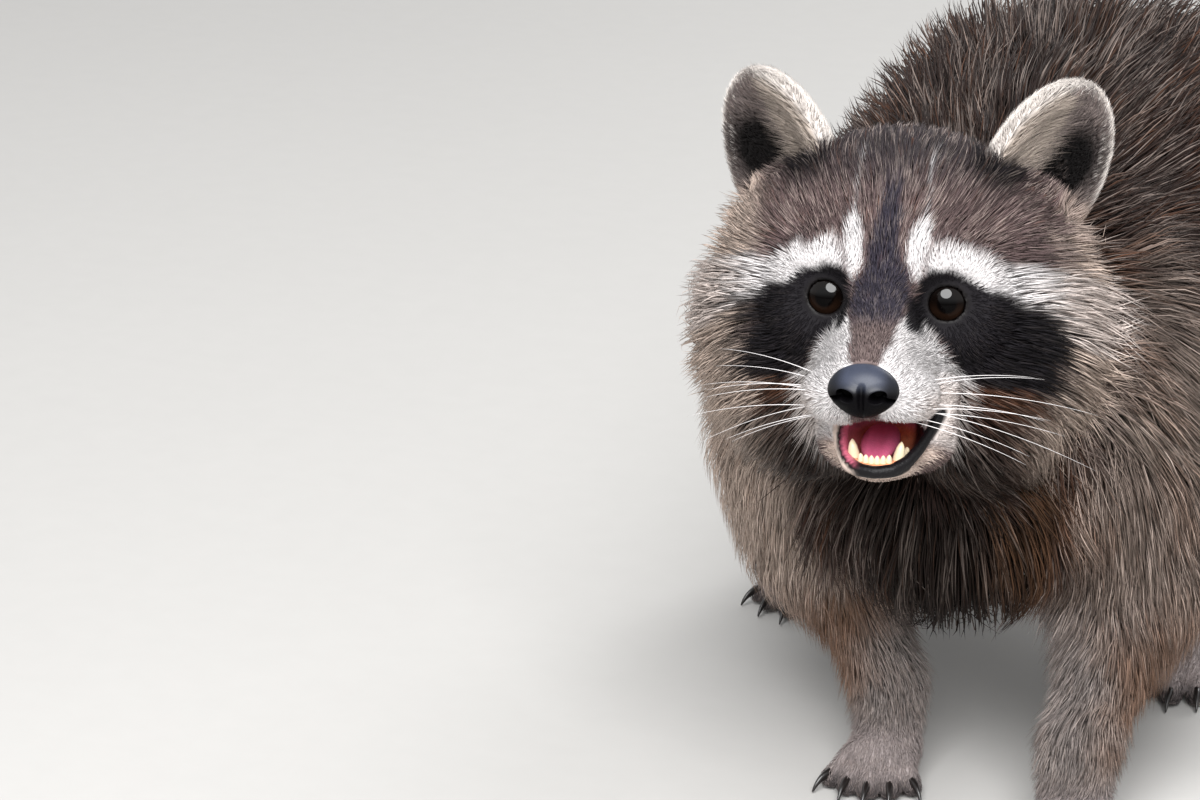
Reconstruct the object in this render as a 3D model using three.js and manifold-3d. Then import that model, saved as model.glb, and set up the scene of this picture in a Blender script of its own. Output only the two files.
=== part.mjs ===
// A raccoon standing on four feet with its head raised and turned, its mouth a little open.
// Millimetres, +Z up, the head towards -Y, the animal's left side towards +X, the soles on z = 0.
// The body is a smooth union of egg shapes and tapering rods. Each part is a capsule grid whose points are
// moved out along rays until they reach that surface; parts are then cut back from those placed before them.
import * as THREE from 'three';
import { mergeVertices } from 'three/addons/utils/BufferGeometryUtils.js';
import Module from 'manifold-3d';

const wasm = await Module();
wasm.setup();
const { Manifold } = wasm;

// ---- driving dimensions ----
const EYE_HEIGHT = 215; // middle of the eyes above the floor
const EYE_SPACING = 41.5; // between the middles of the eyeballs
const EYE_DEPTH = 5.5; // eyeball centre behind the front of the eyes
const EYE_RADIUS = 8.1;
const HEAD_YAW = 10; // degrees, turned to the animal's left
const HEAD_PITCH = -8; // degrees, muzzle raised
const HEAD_ROLL = -0.3;
const BODY_MIDDLE = 8; // x of the trunk's middle line
const NOSE = { centre: [0, -55, -23], radii: [12.4, 6.5, 9.4] };
const EAR = { centre: [46.5, 47.5, 40], radii: [21.5, 8, 38.5], cup: [16, 8.5, 31], cupAt: [0, -8, 2.5], lean: 27, turn: 21, aside: 2 };
const JAW_ASIDE = 2.5; // the open jaw swings a little to the animal's left
const MOUTH_MIDDLE = 4.5; // and the open lips with it
const TONGUE = { centre: [JAW_ASIDE, -20.5, -48], radii: [6.4, 15, 5] };
const ARCH = {
  middle: [JAW_ASIDE, -26.5, -52], wide: 10, deep: 13, span: 1.5, gum: 1.5,
  canines: { angles: [-0.98, 0.98], thick: 1.8, tall: 9 },
  incisors: { angles: [-0.4, -0.14, 0.14, 0.4], thick: 1.2, tall: 4 },
};
const CLAW = { length: 10, thick: 2.6, tip: 0.35, droop: 34, straight: 0.1, sunk: 1.5, lift: 2.2 };
const TOOTH_TIP = 0.35; // a tooth's tip against its root
const SOLE_PRESS = 0.7; // how far the pads are pressed flat on the floor
const GAP = 0.45; // between neighbouring parts
const SLIVER = 0.06; // edges shorter than this are merged
const FILLET = 6; // how far a part reaches into the blend with its neighbour
const AROUND = { ball: [10, 7], ear: [12, 8], head: 22, neck: 20, trunk: 20, jaw: 12, limb: 10, palm: 10, digit: 5, claw: 4 }; // facets
const SEARCH = { step: 0.5, share: 0.6, farthest: 400, halvings: 24 }; // how a ray finds the surface

// ---- masses: flesh radii, depth of the coat over them, softness of the join ----
const vec = (p) => new THREE.Vector3(...p);
const egg = (centre, radii, coat, blend) => ({ centre: vec(centre), radii: vec(radii).addScalar(coat), blend });
const rod = (from, fromRadius, to, toRadius, wide, coat, blend) => ({
  from: vec(from), fromRadius: fromRadius + coat, to: vec(to), toRadius: toRadius + coat, wide, blend,
});

// The same mass on both sides of the plane x = middle.
function pair(mass, middle = 0) {
  const other = { ...mass };
  for (const point of ['centre', 'from', 'to']) {
    if (!mass[point]) continue;
    other[point] = mass[point].clone();
    other[point].x = 2 * middle - mass[point].x;
  }
  return [mass, other];
}

// Head masses stand in the head's own frame: origin between the eyes, -y along the muzzle.
const HEAD = [
  egg([0, 46, 14], [42.5, 46.5, 35.5], 6.5, 6), // skull
  egg([0, 16, 7], [29, 26, 23], 4, 10), // forehead
  rod([0, 2, 4], 13, [0, -43.5, -16.8], 7.8, 1.15, 2, 8), // bridge of the nose
  rod([0, 6, -18], 23, [0, -37, -28], 10.8, 1.15, 3, 10), // muzzle
  egg([0, -49, -23.6], [10.8, 8, 8.7], 0.6, 5), // behind the nose pad
  ...pair(egg([11.5, -34, -28], [10.8, 15, 8.3], 2.5, 7)), // whisker pads
  ...pair(egg([18, 6, 14], [15, 11, 7.5], 2.5, 9)), // brows
  ...pair(egg([36, 36, 18], [18, 22, 17], 5, 12)), // temples
  ...pair(egg([28, 26, -10], [20.5, 29.5, 23.5], 4.5, 12)), // cheekbones
  ...pair(egg([46, 44, -16], [21, 27, 29], 16, 16)), // ruff
  ...pair(egg([30, 34, -42], [25, 31, 21], 13, 16)), // jowls
];
const EYE_HOLLOW = { mass: egg([25, -14, -1], [17, 17, 12.5], 0, 0), blend: 12 }; // bare ground before each eye
const JAW = [
  rod([JAW_ASIDE, -37, -52.6], 3, [0, 8, -38], 14, 1.65, 1.8, 6), // chin to the jaw's angle
  egg([4, -31, -53.4], [12.4, 12.6, 3.2], 1.4, 6), // chin
  ...pair(rod([21, -11, -31], 7, [20.5, -19, -47], 6, 1, 2.5, 12), MOUTH_MIDDLE), // corners of the mouth
  egg([0, 22, -42], [26, 26, 16], 12, 12), // throat
];
const MOUTH = egg([MOUTH_MIDDLE, -31, -43], [13.2, 28, 10.3], 0, 0); // open space over the tongue

// Body masses stand in the whole animal's frame.
const TRUNK = [
  egg([8, 106, 162], [64, 52, 58], 26, 20), // chest
  egg([8, 62, 128], [38, 24, 36], 24, 20), // breast
  egg([8, 186, 172], [78, 74, 72], 28, 26), // barrel
  egg([8, 256, 180], [80, 66, 76], 28, 26), // hips
  egg([8, 308, 168], [56, 44, 56], 26, 24), // rump
  ...pair(egg([64, 96, 150], [26, 40, 52], 16, 16), BODY_MIDDLE), // shoulders
  ...pair(egg([70, 256, 130], [28, 48, 50], 18, 22), BODY_MIDDLE), // thighs
];
const NECK = { front: [0, 60, -6], frontRadius: 38, back: [8, 98, 178], backRadius: 60, coat: 20, blend: 20 };
const NAPE_CUT = { at: [0, 66, 0], normal: [0, -1, 0] }; // head in front of it, in the head's frame
const WITHERS_CUT = { at: [8, 84, 201], normal: [0, -0.813, 0.585] }; // neck in front of it

// Each leg runs hip or shoulder, knee or elbow, ankle or wrist, then the paw at its middle toe's tip.
const LEGS = {
  front_right: {
    upper: [rod([-55, 89, 128], 30, [-53, 97, 86], 21, 1, 14, 18)],
    lower: [rod([-49, 98, 88], 17, [-19, 79, 34], 9, 1, 8, 14), rod([-19, 79, 34], 9, [-15, 68, 13], 9.5, 1.2, 2.5, 8)],
    toe: [-15, 38], turn: 6, hind: false,
  },
  front_left: {
    upper: [rod([70, 86, 128], 28, [74, 84, 84], 19, 1, 14, 18)],
    lower: [rod([74, 82, 88], 17, [66, 45, 34], 9, 1, 8, 14), rod([66, 45, 34], 9, [67, 34, 13], 9.5, 1.2, 2.5, 8)],
    toe: [68, 4], turn: -6, hind: false,
  },
  hind_right: {
    upper: [rod([-54, 262, 130], 36, [-84, 240, 88], 25, 1, 14, 22)],
    lower: [rod([-84, 246, 86], 22, [-97, 284, 36], 11, 1, 9, 18), rod([-97, 284, 36], 11, [-98, 284, 13], 9.5, 1, 3, 8)],
    toe: [-104, 203], turn: -3, hind: true,
  },
  hind_left: {
    upper: [rod([70, 246, 130], 36, [84, 210, 88], 25, 1, 14, 22)],
    lower: [rod([84, 216, 86], 22, [77, 252, 36], 11, 1, 9, 18), rod([77, 252, 36], 11, [76, 252, 13], 9.5, 1, 3, 8)],
    toe: [72, 171], turn: 3, hind: true,
  },
};
// Digits: where each leaves the palm and how far its tip stands aside and back, the middle one at the origin.
const FRONT_PAW = {
  palm: rod([0, 32, 8.5], 9, [0, 21, 8], 10.5, 1.25, 1.5, 5),
  digits: [[-10, -15.5, 8], [-6, -8.2, 2.5], [0, 0, 0], [6, 8.2, 2.5], [10, 15.5, 8]], rootY: 21, thick: 4.4, tipThick: 3.7,
};
const HIND_PAW = {
  palm: rod([0, 84, 8.5], 9.5, [0, 30, 8], 12, 1.2, 1.5, 5),
  digits: [[-12, -18, 12], [-7, -10, 4], [0, 0, 0], [7, 10, 4], [12, 18, 12]], rootY: 27, thick: 4.8, tipThick: 3.9,
};
const DIGIT_COAT = 1;
const DIGIT_RISE = 3; // of a digit's root over its own thickness

// The tail's middle line, its flesh radius and its coat at each joint.
const TAIL = [
  { at: [8, 335, 196], flesh: 17, coat: 12 },
  { at: [10, 388, 158], flesh: 13, coat: 16 },
  { at: [16, 440, 112], flesh: 12, coat: 19 },
  { at: [26, 500, 72], flesh: 10, coat: 19 },
  { at: [38, 556, 50], flesh: 5, coat: 15 },
];

// ---- colours ----
const finish = (color, roughness) => new THREE.MeshStandardMaterial({ color, roughness, metalness: 0 });
const MATERIALS = {
  grizzled: finish('#6f6358', 0.9),
  mask: finish('#8d857c', 0.9),
  pale: finish('#b9b0a4', 0.9),
  ring: finish('#2b2624', 0.9),
  horn: finish('#1d1a19', 0.45),
  nose: finish('#15161a', 0.3),
  eye: finish('#120c09', 0.08),
  tongue: finish('#b4607a', 0.4),
  tooth: finish('#e6dcc0', 0.35),
};

// ---- signed fields: below zero inside ----
const TINY = 1e-9;
const scaled = new THREE.Vector3();
function massField(mass, p) {
  if (mass.radii) {
    scaled.subVectors(p, mass.centre).divide(mass.radii);
    const outward = scaled.length() + TINY;
    return (outward * (outward - 1)) / (scaled.divide(mass.radii).length() + TINY);
  }
  const { from, to, wide } = mass;
  const ax = from.x / wide, bx = to.x / wide - ax;
  const by = to.y - from.y, bz = to.z - from.z;
  const px = p.x / wide - ax, py = p.y - from.y, pz = p.z - from.z;
  const t = THREE.MathUtils.clamp((px * bx + py * by + pz * bz) / (bx * bx + by * by + bz * bz), 0, 1);
  const away = Math.hypot(px - t * bx, py - t * by, pz - t * bz);
  return away - THREE.MathUtils.lerp(mass.fromRadius, mass.toRadius, t);
}

function smoothMin(a, b, blend) {
  const h = THREE.MathUtils.clamp(0.5 + (0.5 * (b - a)) / blend, 0, 1);
  return THREE.MathUtils.lerp(b, a, h) - blend * h * (1 - h);
}

const unionField = (masses, p, start = Infinity) =>
  masses.reduce((d, mass) => (d === Infinity ? massField(mass, p) : smoothMin(d, massField(mass, p), mass.blend)), start);

// ---- the head's place ----
const headFrame = new THREE.Group();
headFrame.position.set(0, 0, EYE_HEIGHT);
const degrees = THREE.MathUtils.degToRad;
headFrame.rotation.set(degrees(HEAD_PITCH), degrees(HEAD_ROLL), degrees(HEAD_YAW), 'ZXY');
headFrame.updateMatrixWorld(true);
const toHead = headFrame.matrixWorld.clone().invert();
const local = new THREE.Vector3();
const mirrored = new THREE.Vector3();

function headField(p) {
  local.copy(p).applyMatrix4(toHead);
  return unionField(HEAD, local);
}

const neckMass = rod(vec(NECK.front).applyMatrix4(headFrame.matrixWorld).toArray(), NECK.frontRadius,
  NECK.back, NECK.backRadius, 1, NECK.coat, NECK.blend);
const tailMass = (i) => rod(TAIL[i].at, TAIL[i].flesh + TAIL[i].coat, TAIL[i + 1].at, TAIL[i + 1].flesh + TAIL[i + 1].coat, 1, 0, 10);
const tailMasses = TAIL.slice(1).map((_, i) => tailMass(i));
const legMasses = Object.values(LEGS).flatMap((leg) => [...leg.upper, ...leg.lower]);

const bodyField = (p) => unionField([neckMass, ...TRUNK, ...legMasses, ...tailMasses], p);
function wholeField(p) {
  const d = smoothMin(headField(p), bodyField(p), NECK.blend);
  local.copy(p).applyMatrix4(toHead);
  mirrored.set(Math.abs(local.x), local.y, local.z);
  return -smoothMin(-d, massField(EYE_HOLLOW.mass, mirrored), EYE_HOLLOW.blend);
}

// ---- grids to solids ----
// Merges shared vertices, moves them outwards by grow, drops the flat triangles at the poles and makes a solid.
function solidOf(geometry, grow = 0) {
  geometry.deleteAttribute('normal');
  geometry.deleteAttribute('uv');
  const merged = mergeVertices(geometry, 1e-5);
  if (grow) {
    merged.computeVertexNormals();
    const { position, normal } = merged.attributes;
    for (let i = 0; i < position.array.length; i++) position.array[i] += grow * normal.array[i];
  }
  const index = merged.index.array;
  const triangles = [];
  for (let i = 0; i < index.length; i += 3) {
    const [a, b, c] = [index[i], index[i + 1], index[i + 2]];
    if (a !== b && b !== c && c !== a) triangles.push(a, b, c);
  }
  return new Manifold(new wasm.Mesh({
    numProp: 3,
    vertProperties: new Float32Array(merged.attributes.position.array),
    triVerts: new Uint32Array(triangles),
  }));
}

// How far a ray runs inside the field before it comes out.
function reach(field, origin, direction) {
  const at = new THREE.Vector3();
  const value = (t) => field(at.copy(origin).addScaledVector(direction, t));
  let inside = 0;
  let t = SEARCH.step;
  let d = value(t);
  while (d < 0 && t < SEARCH.farthest) {
    inside = t;
    t += Math.max(SEARCH.step, -SEARCH.share * d);
    d = value(t);
  }
  for (let i = 0; i < SEARCH.halvings; i++) {
    const middle = (inside + t) / 2;
    if (value(middle) < 0) inside = middle;
    else t = middle;
  }
  return inside;
}

// Rows of rays: where each starts along the part's axis, and its angle from the axis's forward end.
const fan = (at, first, last, count) =>
  Array.from({ length: count }, (_, i) => ({ at, angle: first + ((last - first) * i) / (count - 1) }));
const slide = (first, last, count) =>
  Array.from({ length: count }, (_, i) => ({ at: first + ((last - first) * (i + 1)) / (count + 1), angle: 90 }));
const capsuleRows = (caps, between) => [...fan(1, 0, 90, caps + 1), ...slide(1, 0, between), ...fan(0, 90, 180, caps + 1)];

// A closed grid round the axis, its points pushed out along the rays to the field's surface.
function shell(field, from, to, around, rows, grow) {
  const axis = new THREE.Vector3().subVectors(to, from);
  const turn = new THREE.Quaternion().setFromUnitVectors(new THREE.Vector3(0, 1, 0), axis.clone().normalize());
  const geometry = new THREE.SphereGeometry(1, around, rows.length - 1);
  const points = geometry.attributes.position;
  const origin = new THREE.Vector3();
  const ray = new THREE.Vector3();
  for (let i = 0; i < points.count; i++) {
    const { at, angle } = rows[Math.floor(i / (around + 1))];
    const round = (2 * Math.PI * (i % (around + 1))) / around;
    const outward = Math.sin(degrees(angle));
    ray.set(-Math.cos(round) * outward, Math.cos(degrees(angle)), Math.sin(round) * outward).applyQuaternion(turn);
    origin.copy(from).addScaledVector(axis, at);
    origin.addScaledVector(ray, reach(field, origin, ray));
    points.setXYZ(i, origin.x, origin.y, origin.z);
  }
  return solidOf(geometry, grow);
}

// ---- parts, each cut back from those placed before it ----
const placed = [];
const model = new THREE.Group();
model.name = 'raccoon';
const animal = new THREE.Group();
animal.add(headFrame);
model.add(animal);

const near = (a, b) => [0, 1, 2].every((k) => a.min[k] < b.max[k] && b.min[k] < a.max[k]);
const largest = (solid) => solid.decompose().sort((a, b) => b.volume() - a.volume())[0];

// Adds a mesh of the solid, given in the animal's frame, to a group.
function addMesh(name, solid, material, group = animal) {
  group.updateWorldMatrix(true, false);
  const { vertProperties, triVerts } = solid.getMesh();
  const geometry = new THREE.BufferGeometry();
  geometry.setAttribute('position', new THREE.BufferAttribute(new Float32Array(vertProperties), 3));
  geometry.setIndex(new THREE.BufferAttribute(new Uint32Array(triVerts), 1));
  geometry.applyMatrix4(group.matrixWorld.clone().invert());
  geometry.computeVertexNormals();
  const mesh = new THREE.Mesh(geometry, material);
  mesh.name = name;
  group.add(mesh);
}

// make(grow) gives the solid with its surface moved out by grow, in the animal's frame.
function place(name, make, material, group, pockets = []) {
  let solid = make(0);
  for (const pocket of pockets) solid = solid.subtract(pocket);
  for (const grown of placed) {
    if (near(solid.boundingBox(), grown.boundingBox())) solid = solid.subtract(grown);
  }
  addMesh(name, largest(solid.simplify(SLIVER)), material, group);
  placed.push(make(GAP));
}

const headPoint = (p) => vec(p).applyMatrix4(headFrame.matrixWorld);
// Keeps what lies in front of a plane, set back by half the gap; a grown solid reaches past the plane instead.
function trim(solid, at, normal, grow) {
  const setBack = GAP / 2 - 1.5 * grow;
  return solid.trimByPlane(normal.toArray(), at.dot(normal) + setBack);
}
const headSolid = (geometry, grow) => solidOf(geometry.applyMatrix4(headFrame.matrixWorld), grow);

// An ellipsoid in the head's frame.
function headEgg(centre, radii, grow) {
  const geometry = new THREE.SphereGeometry(1, ...AROUND.ball).rotateX(Math.PI / 2);
  return headSolid(geometry.scale(...radii).translate(...centre), grow);
}

const sides = { right: -1, left: 1 };
const eyeAt = (side) => [(side * EYE_SPACING) / 2, EYE_DEPTH, 0];
const eyeSolid = (side, grow) => headEgg(eyeAt(side), [EYE_RADIUS, EYE_RADIUS, EYE_RADIUS], grow);
const mouthSpace = headEgg(MOUTH.centre.toArray(), MOUTH.radii.toArray(), 0);

// The whole surface, as far as a part's own masses and a little of the blend reach.
const partField = (own) => (p) => Math.max(wholeField(p), own(p) - FILLET);

// Eyes and nose pad come first, so that the head is hollowed for them.
for (const [side, sign] of Object.entries(sides)) {
  place(`eye_${side}`, (grow) => eyeSolid(sign, grow), MATERIALS.eye, headFrame);
}
place('nose', (grow) => headEgg(NOSE.centre, NOSE.radii, grow), MATERIALS.nose, headFrame);

// Tongue and lower teeth: a soft tongue lying in an arch of gum with small front teeth and two canines.
place('tongue', (grow) => headEgg(TONGUE.centre, TONGUE.radii, grow), MATERIALS.tongue, headFrame);

function archPoint(angle, lift = 0) {
  const [x, y, z] = ARCH.middle;
  return new THREE.Vector3(x + ARCH.wide * Math.sin(angle), y - ARCH.deep * Math.cos(angle), z + lift);
}
function toothArch(grow) {
  const section = new THREE.Shape();
  section.absarc(0, 0, ARCH.gum, 0, 2 * Math.PI);
  const path = new THREE.CatmullRomCurve3([-1, -0.66, -0.33, 0, 0.33, 0.66, 1].map((s) => archPoint(s * ARCH.span)));
  let arch = headSolid(new THREE.ExtrudeGeometry(section,
    { extrudePath: path, steps: 6, curveSegments: 3, bevelEnabled: false }), grow);
  for (const { angles, thick, tall } of [ARCH.canines, ARCH.incisors]) {
    for (const angle of angles) {
      const cone = new THREE.CylinderGeometry(thick * TOOTH_TIP, thick, tall, 5).rotateX(Math.PI / 2);
      const middle = archPoint(angle, tall / 2);
      arch = arch.add(headSolid(cone.translate(middle.x, middle.y, middle.z), grow));
    }
  }
  return arch;
}
place('teeth_lower', toothArch, MATERIALS.tooth, headFrame);

// Head: from the back of the skull to the nose, in front of the nape cut.
const napeAt = headPoint(NAPE_CUT.at);
const napeNormal = vec(NAPE_CUT.normal).transformDirection(headFrame.matrixWorld);
const MUZZLE_ROWS = [...fan(1, 0, 90, 4), ...slide(1, 0.6, 3)];
const FACE_ROWS = fan(0.19, 32, 82, 6);
const SKULL_ROWS = [{ at: 0.1, angle: 90 }, ...fan(0, 90, 180, 3)];
place('head', (grow) => trim(shell(partField(headField), headPoint([0, 54, -3]), headPoint([0, -43, -27]), AROUND.head,
  [...MUZZLE_ROWS, ...FACE_ROWS, ...SKULL_ROWS], grow), napeAt, napeNormal, grow), MATERIALS.mask, headFrame, [mouthSpace]);

// Neck: the wedge between the head and the withers.
const withersAt = vec(WITHERS_CUT.at);
const withersNormal = vec(WITHERS_CUT.normal).normalize();
place('neck', (grow) => {
  const bulk = shell(wholeField, headPoint([0, 62, 6]), vec([8, 100, 210]), AROUND.neck, capsuleRows(4, 3), grow);
  return trim(trim(bulk, napeAt, napeNormal.clone().negate(), grow), withersAt, withersNormal, grow);
}, MATERIALS.grizzled);

const trunkField = (p) => unionField(TRUNK, p);
place('trunk', (grow) => shell(partField(trunkField), vec([8, 112, 166]), vec([8, 290, 172]), AROUND.trunk,
  capsuleRows(5, 7), grow), MATERIALS.grizzled);

const jawField = (p) => unionField(JAW, local.copy(p).applyMatrix4(toHead).clone());
place('jaw', (grow) => shell(jawField, headPoint([0, 16, -42]), headPoint([JAW_ASIDE, -37, -53]),
  AROUND.jaw, capsuleRows(3, 2), grow), MATERIALS.pale, headFrame, [mouthSpace]);

// Ears: a leaning cup, hollow in front.
for (const [side, sign] of Object.entries(sides)) {
  place(`ear_${side}`, (grow) => {
    const stand = new THREE.Matrix4().makeRotationFromEuler(
      new THREE.Euler(0, sign * degrees(EAR.lean), sign * degrees(EAR.turn), 'ZYX'));
    stand.setPosition(sign * EAR.centre[0] + EAR.aside, EAR.centre[1], EAR.centre[2]);
    const bowl = (radii, at, swell) => headSolid(new THREE.SphereGeometry(1, ...AROUND.ear).rotateX(Math.PI / 2)
      .scale(...radii).translate(...at).applyMatrix4(stand), swell);
    return bowl(EAR.radii, [0, 0, 0], grow).subtract(bowl(EAR.cup, EAR.cupAt, -grow));
  }, MATERIALS.pale, headFrame);
}

// Legs, paws and claws.
function limbPart(name, masses, rows, material) {
  const own = (p) => unionField(masses, p);
  const from = masses[0].from;
  const to = masses[masses.length - 1].to;
  place(name, (grow) => shell(own, from, to, AROUND.limb, rows, grow), material);
}
const rodSolid = (mass, around, grow) =>
  shell((p) => massField(mass, p), mass.from, mass.to, around, capsuleRows(2, 0), grow);

function digitTip([rootX, tipX, tipBack], paw) {
  const tip = new THREE.Vector3(tipX, tipBack + paw.tipThick + DIGIT_COAT, paw.tipThick + DIGIT_COAT - SOLE_PRESS);
  const root = new THREE.Vector3(rootX, paw.rootY, paw.thick + DIGIT_COAT + DIGIT_RISE);
  return { tip, root };
}

// Palm and five digits in the paw's own frame, flat underneath.
function pawSolid(paw, grow) {
  let solid = rodSolid(paw.palm, AROUND.palm, grow);
  for (const digit of paw.digits) {
    const { tip, root } = digitTip(digit, paw);
    const mass = rod(root.toArray(), paw.thick, tip.toArray(), paw.tipThick, 1, DIGIT_COAT, 1);
    solid = solid.add(rodSolid(mass, AROUND.digit, grow));
  }
  return solid.trimByPlane([0, 0, 1], -grow);
}

// A curved cone from a digit's tip, drooping towards its point but clear of the floor.
function clawGeometry(direction) {
  const geometry = new THREE.CylinderGeometry(CLAW.tip, CLAW.thick / 2, CLAW.length, AROUND.claw, 2);
  const points = geometry.attributes.position;
  const along = new THREE.Vector3();
  const across = new THREE.Vector3();
  for (let i = 0; i < points.count; i++) {
    const run = points.getY(i) / CLAW.length + 0.5;
    const angle = degrees(CLAW.droop) * (run - CLAW.straight);
    along.set(0, -Math.cos(angle), -Math.sin(angle)).multiplyScalar(CLAW.length * run);
    across.set(0, -Math.sin(angle), Math.cos(angle)).multiplyScalar(-points.getZ(i));
    points.setXYZ(i, points.getX(i), along.y + across.y, along.z + across.z);
  }
  geometry.rotateZ(Math.atan2(direction.x, -direction.y));
  return geometry;
}

for (const [name, leg] of Object.entries(LEGS)) {
  const [upperName, lowerName, pawName] = leg.hind ? ['thigh', 'shank', 'foot'] : ['upper_arm', 'forearm', 'paw'];
  const paw = leg.hind ? HIND_PAW : FRONT_PAW;
  limbPart(`${upperName}_${name}`, leg.upper, capsuleRows(3, 1), MATERIALS.grizzled);
  limbPart(`${lowerName}_${name}`, leg.lower, capsuleRows(2, 3), MATERIALS.pale);
  const stand = new THREE.Group();
  stand.position.set(leg.toe[0], leg.toe[1], 0);
  stand.rotation.z = degrees(leg.turn);
  animal.add(stand);
  stand.updateMatrixWorld(true);
  const moved = (solid) => solid.transform(stand.matrixWorld.elements.slice());
  place(`${pawName}_${name}`, (grow) => moved(pawSolid(paw, grow)), MATERIALS.pale, stand);
  paw.digits.forEach((digit, i) => {
    const { tip, root } = digitTip(digit, paw);
    const direction = tip.clone().sub(root).setZ(0).normalize();
    const from = tip.clone().addScaledVector(direction, paw.tipThick - CLAW.sunk).setZ(tip.z + CLAW.lift);
    place(`claw_${name}_${i + 1}`, (grow) => moved(solidOf(clawGeometry(direction).translate(...from.toArray()), grow)),
      MATERIALS.horn, stand);
  });
}

// Tail in four lengths, parted square to its middle line.
const joint = (i) => vec(TAIL[i].at);
const runOfTail = (i) => joint(Math.min(i + 1, TAIL.length - 1)).sub(joint(i - 1)).normalize();
tailMasses.forEach((mass, i) => {
  place(`tail_${i + 1}`, (grow) => {
    let length = shell(partField((p) => massField(mass, p)), mass.from, mass.to, AROUND.limb, capsuleRows(2, 1), grow);
    if (i > 0) length = trim(length, joint(i), runOfTail(i), grow);
    if (i < tailMasses.length - 1) length = trim(length, joint(i + 1), runOfTail(i + 1).negate(), grow);
    return length;
  }, i % 2 ? MATERIALS.ring : MATERIALS.grizzled);
});

// The model's own origin: under the middle of its box, on the floor.
const box = new THREE.Box3().setFromObject(model, true);
animal.position.set(-(box.min.x + box.max.x) / 2, -(box.min.y + box.max.y) / 2, -box.min.z);
model.updateMatrixWorld(true);

export default model;
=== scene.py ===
"""A life-size raccoon on all fours: skin, coat, eyes, nose, mouth, claws and whiskers, and a plain stage."""
import collections
import math

import bpy
import mathutils
import numpy as np
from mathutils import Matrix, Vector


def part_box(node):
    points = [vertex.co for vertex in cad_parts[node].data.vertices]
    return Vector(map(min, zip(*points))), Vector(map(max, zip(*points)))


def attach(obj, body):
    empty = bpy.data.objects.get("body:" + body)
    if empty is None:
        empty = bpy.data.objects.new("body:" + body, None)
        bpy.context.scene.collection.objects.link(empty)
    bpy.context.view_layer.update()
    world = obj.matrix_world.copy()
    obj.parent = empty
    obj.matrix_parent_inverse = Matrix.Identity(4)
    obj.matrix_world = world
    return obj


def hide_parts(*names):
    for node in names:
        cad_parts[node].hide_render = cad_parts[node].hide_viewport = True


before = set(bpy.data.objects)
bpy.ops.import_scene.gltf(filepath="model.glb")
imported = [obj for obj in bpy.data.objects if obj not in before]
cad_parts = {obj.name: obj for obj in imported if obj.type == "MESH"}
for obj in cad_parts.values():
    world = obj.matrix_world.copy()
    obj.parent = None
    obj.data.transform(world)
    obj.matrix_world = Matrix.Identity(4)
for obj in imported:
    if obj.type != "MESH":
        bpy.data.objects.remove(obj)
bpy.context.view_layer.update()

bl_info = {
    "name": "Raccoon",
    "version": (1, 0, 0),
    "blender": (4, 5, 0),
    "location": "View3D > Sidebar > Raccoon",
    "description": "Skin, coat, eyes, nose, mouth, claws and whiskers of a life-size raccoon",
    "category": "Object",
}

MM = 0.001


# ---------------------------------------------------------------- the animal's shape, in millimetres
# The body is a smooth union of eggs and tapering rods. Head masses stand in the head's own frame, with its
# origin between the eyes and -y along the muzzle; all others stand in the animal's frame, with -y ahead,
# +x to its left and the floor at z = 0.
EYE_HEIGHT = 215.0
EYE_SPACING = 41.5
EYE_DEPTH = 5.5
EYE_RADIUS = 8.1
HEAD_YAW, HEAD_PITCH, HEAD_ROLL = 10.0, -8.0, -0.3
BODY_MIDDLE = 8.0
NOSE_CENTRE = np.array((0.0, -55.0, -23.0))
NOSE_RADII = np.array((12.4, 6.5, 9.4))
JAW_ASIDE = 2.5
MOUTH_MIDDLE = 4.5
EAR = {"centre": (46.5, 47.5, 40.0), "radii": (20.4, 7.0, 37.2), "cup": (18.2, 12.5, 34.0),
       "cup_at": (0.3, -9.0, 1.5), "lean": 27.0, "turn": 21.0, "aside": 2.0}

Mass = collections.namedtuple("Mass", "a b ra rb wide coat blend lie")


def egg(centre, radii, coat, blend, lie=(0.0, 1.0, -0.3)):
    """An ellipsoid mass: centre, radii under the coat, the coat's depth, the join's softness, the fur's
    lie."""
    centre, radii, lie = (np.array(value, float) for value in (centre, radii, lie))
    return Mass(centre, None, radii, None, 1.0, coat, blend, lie)


def rod(start, start_radius, end, end_radius, wide, coat, blend, lie=None):
    """A tapering rod with round ends, `wide` times as broad in x. Its fur lies from start to end."""
    a, b = np.array(start, float), np.array(end, float)
    way = (b - a) / np.linalg.norm(b - a) if lie is None else np.array(lie, float)
    return Mass(a, b, start_radius, end_radius, wide, coat, blend, way)


def pair(mass, middle=0.0):
    """The same mass on both sides of the plane x = middle."""
    flip = np.array((-1.0, 1.0, 1.0))
    shift = np.array((2.0 * middle, 0.0, 0.0))
    other_b = None if mass.b is None else mass.b * flip + shift
    return [mass, mass._replace(a=mass.a * flip + shift, b=other_b, lie=mass.lie * flip)]


def turn(axis, angle):
    """Rotation matrix about one axis, by an angle in degrees."""
    c, s = math.cos(math.radians(angle)), math.sin(math.radians(angle))
    return np.array({"x": ((1, 0, 0), (0, c, -s), (0, s, c)), "y": ((c, 0, s), (0, 1, 0), (-s, 0, c)),
                     "z": ((c, -s, 0), (s, c, 0), (0, 0, 1))}[axis], float)


HEAD_TURN = turn("z", HEAD_YAW) @ turn("x", HEAD_PITCH) @ turn("y", HEAD_ROLL)
HEAD_AT = np.array((0.0, 0.0, EYE_HEIGHT))


def to_head(p):
    """Points of the animal's frame in the head's frame."""
    return (p - HEAD_AT) @ HEAD_TURN


def from_head(q):
    """Points of the head's frame in the animal's frame."""
    return np.asarray(q, float) @ HEAD_TURN.T + HEAD_AT


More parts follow.
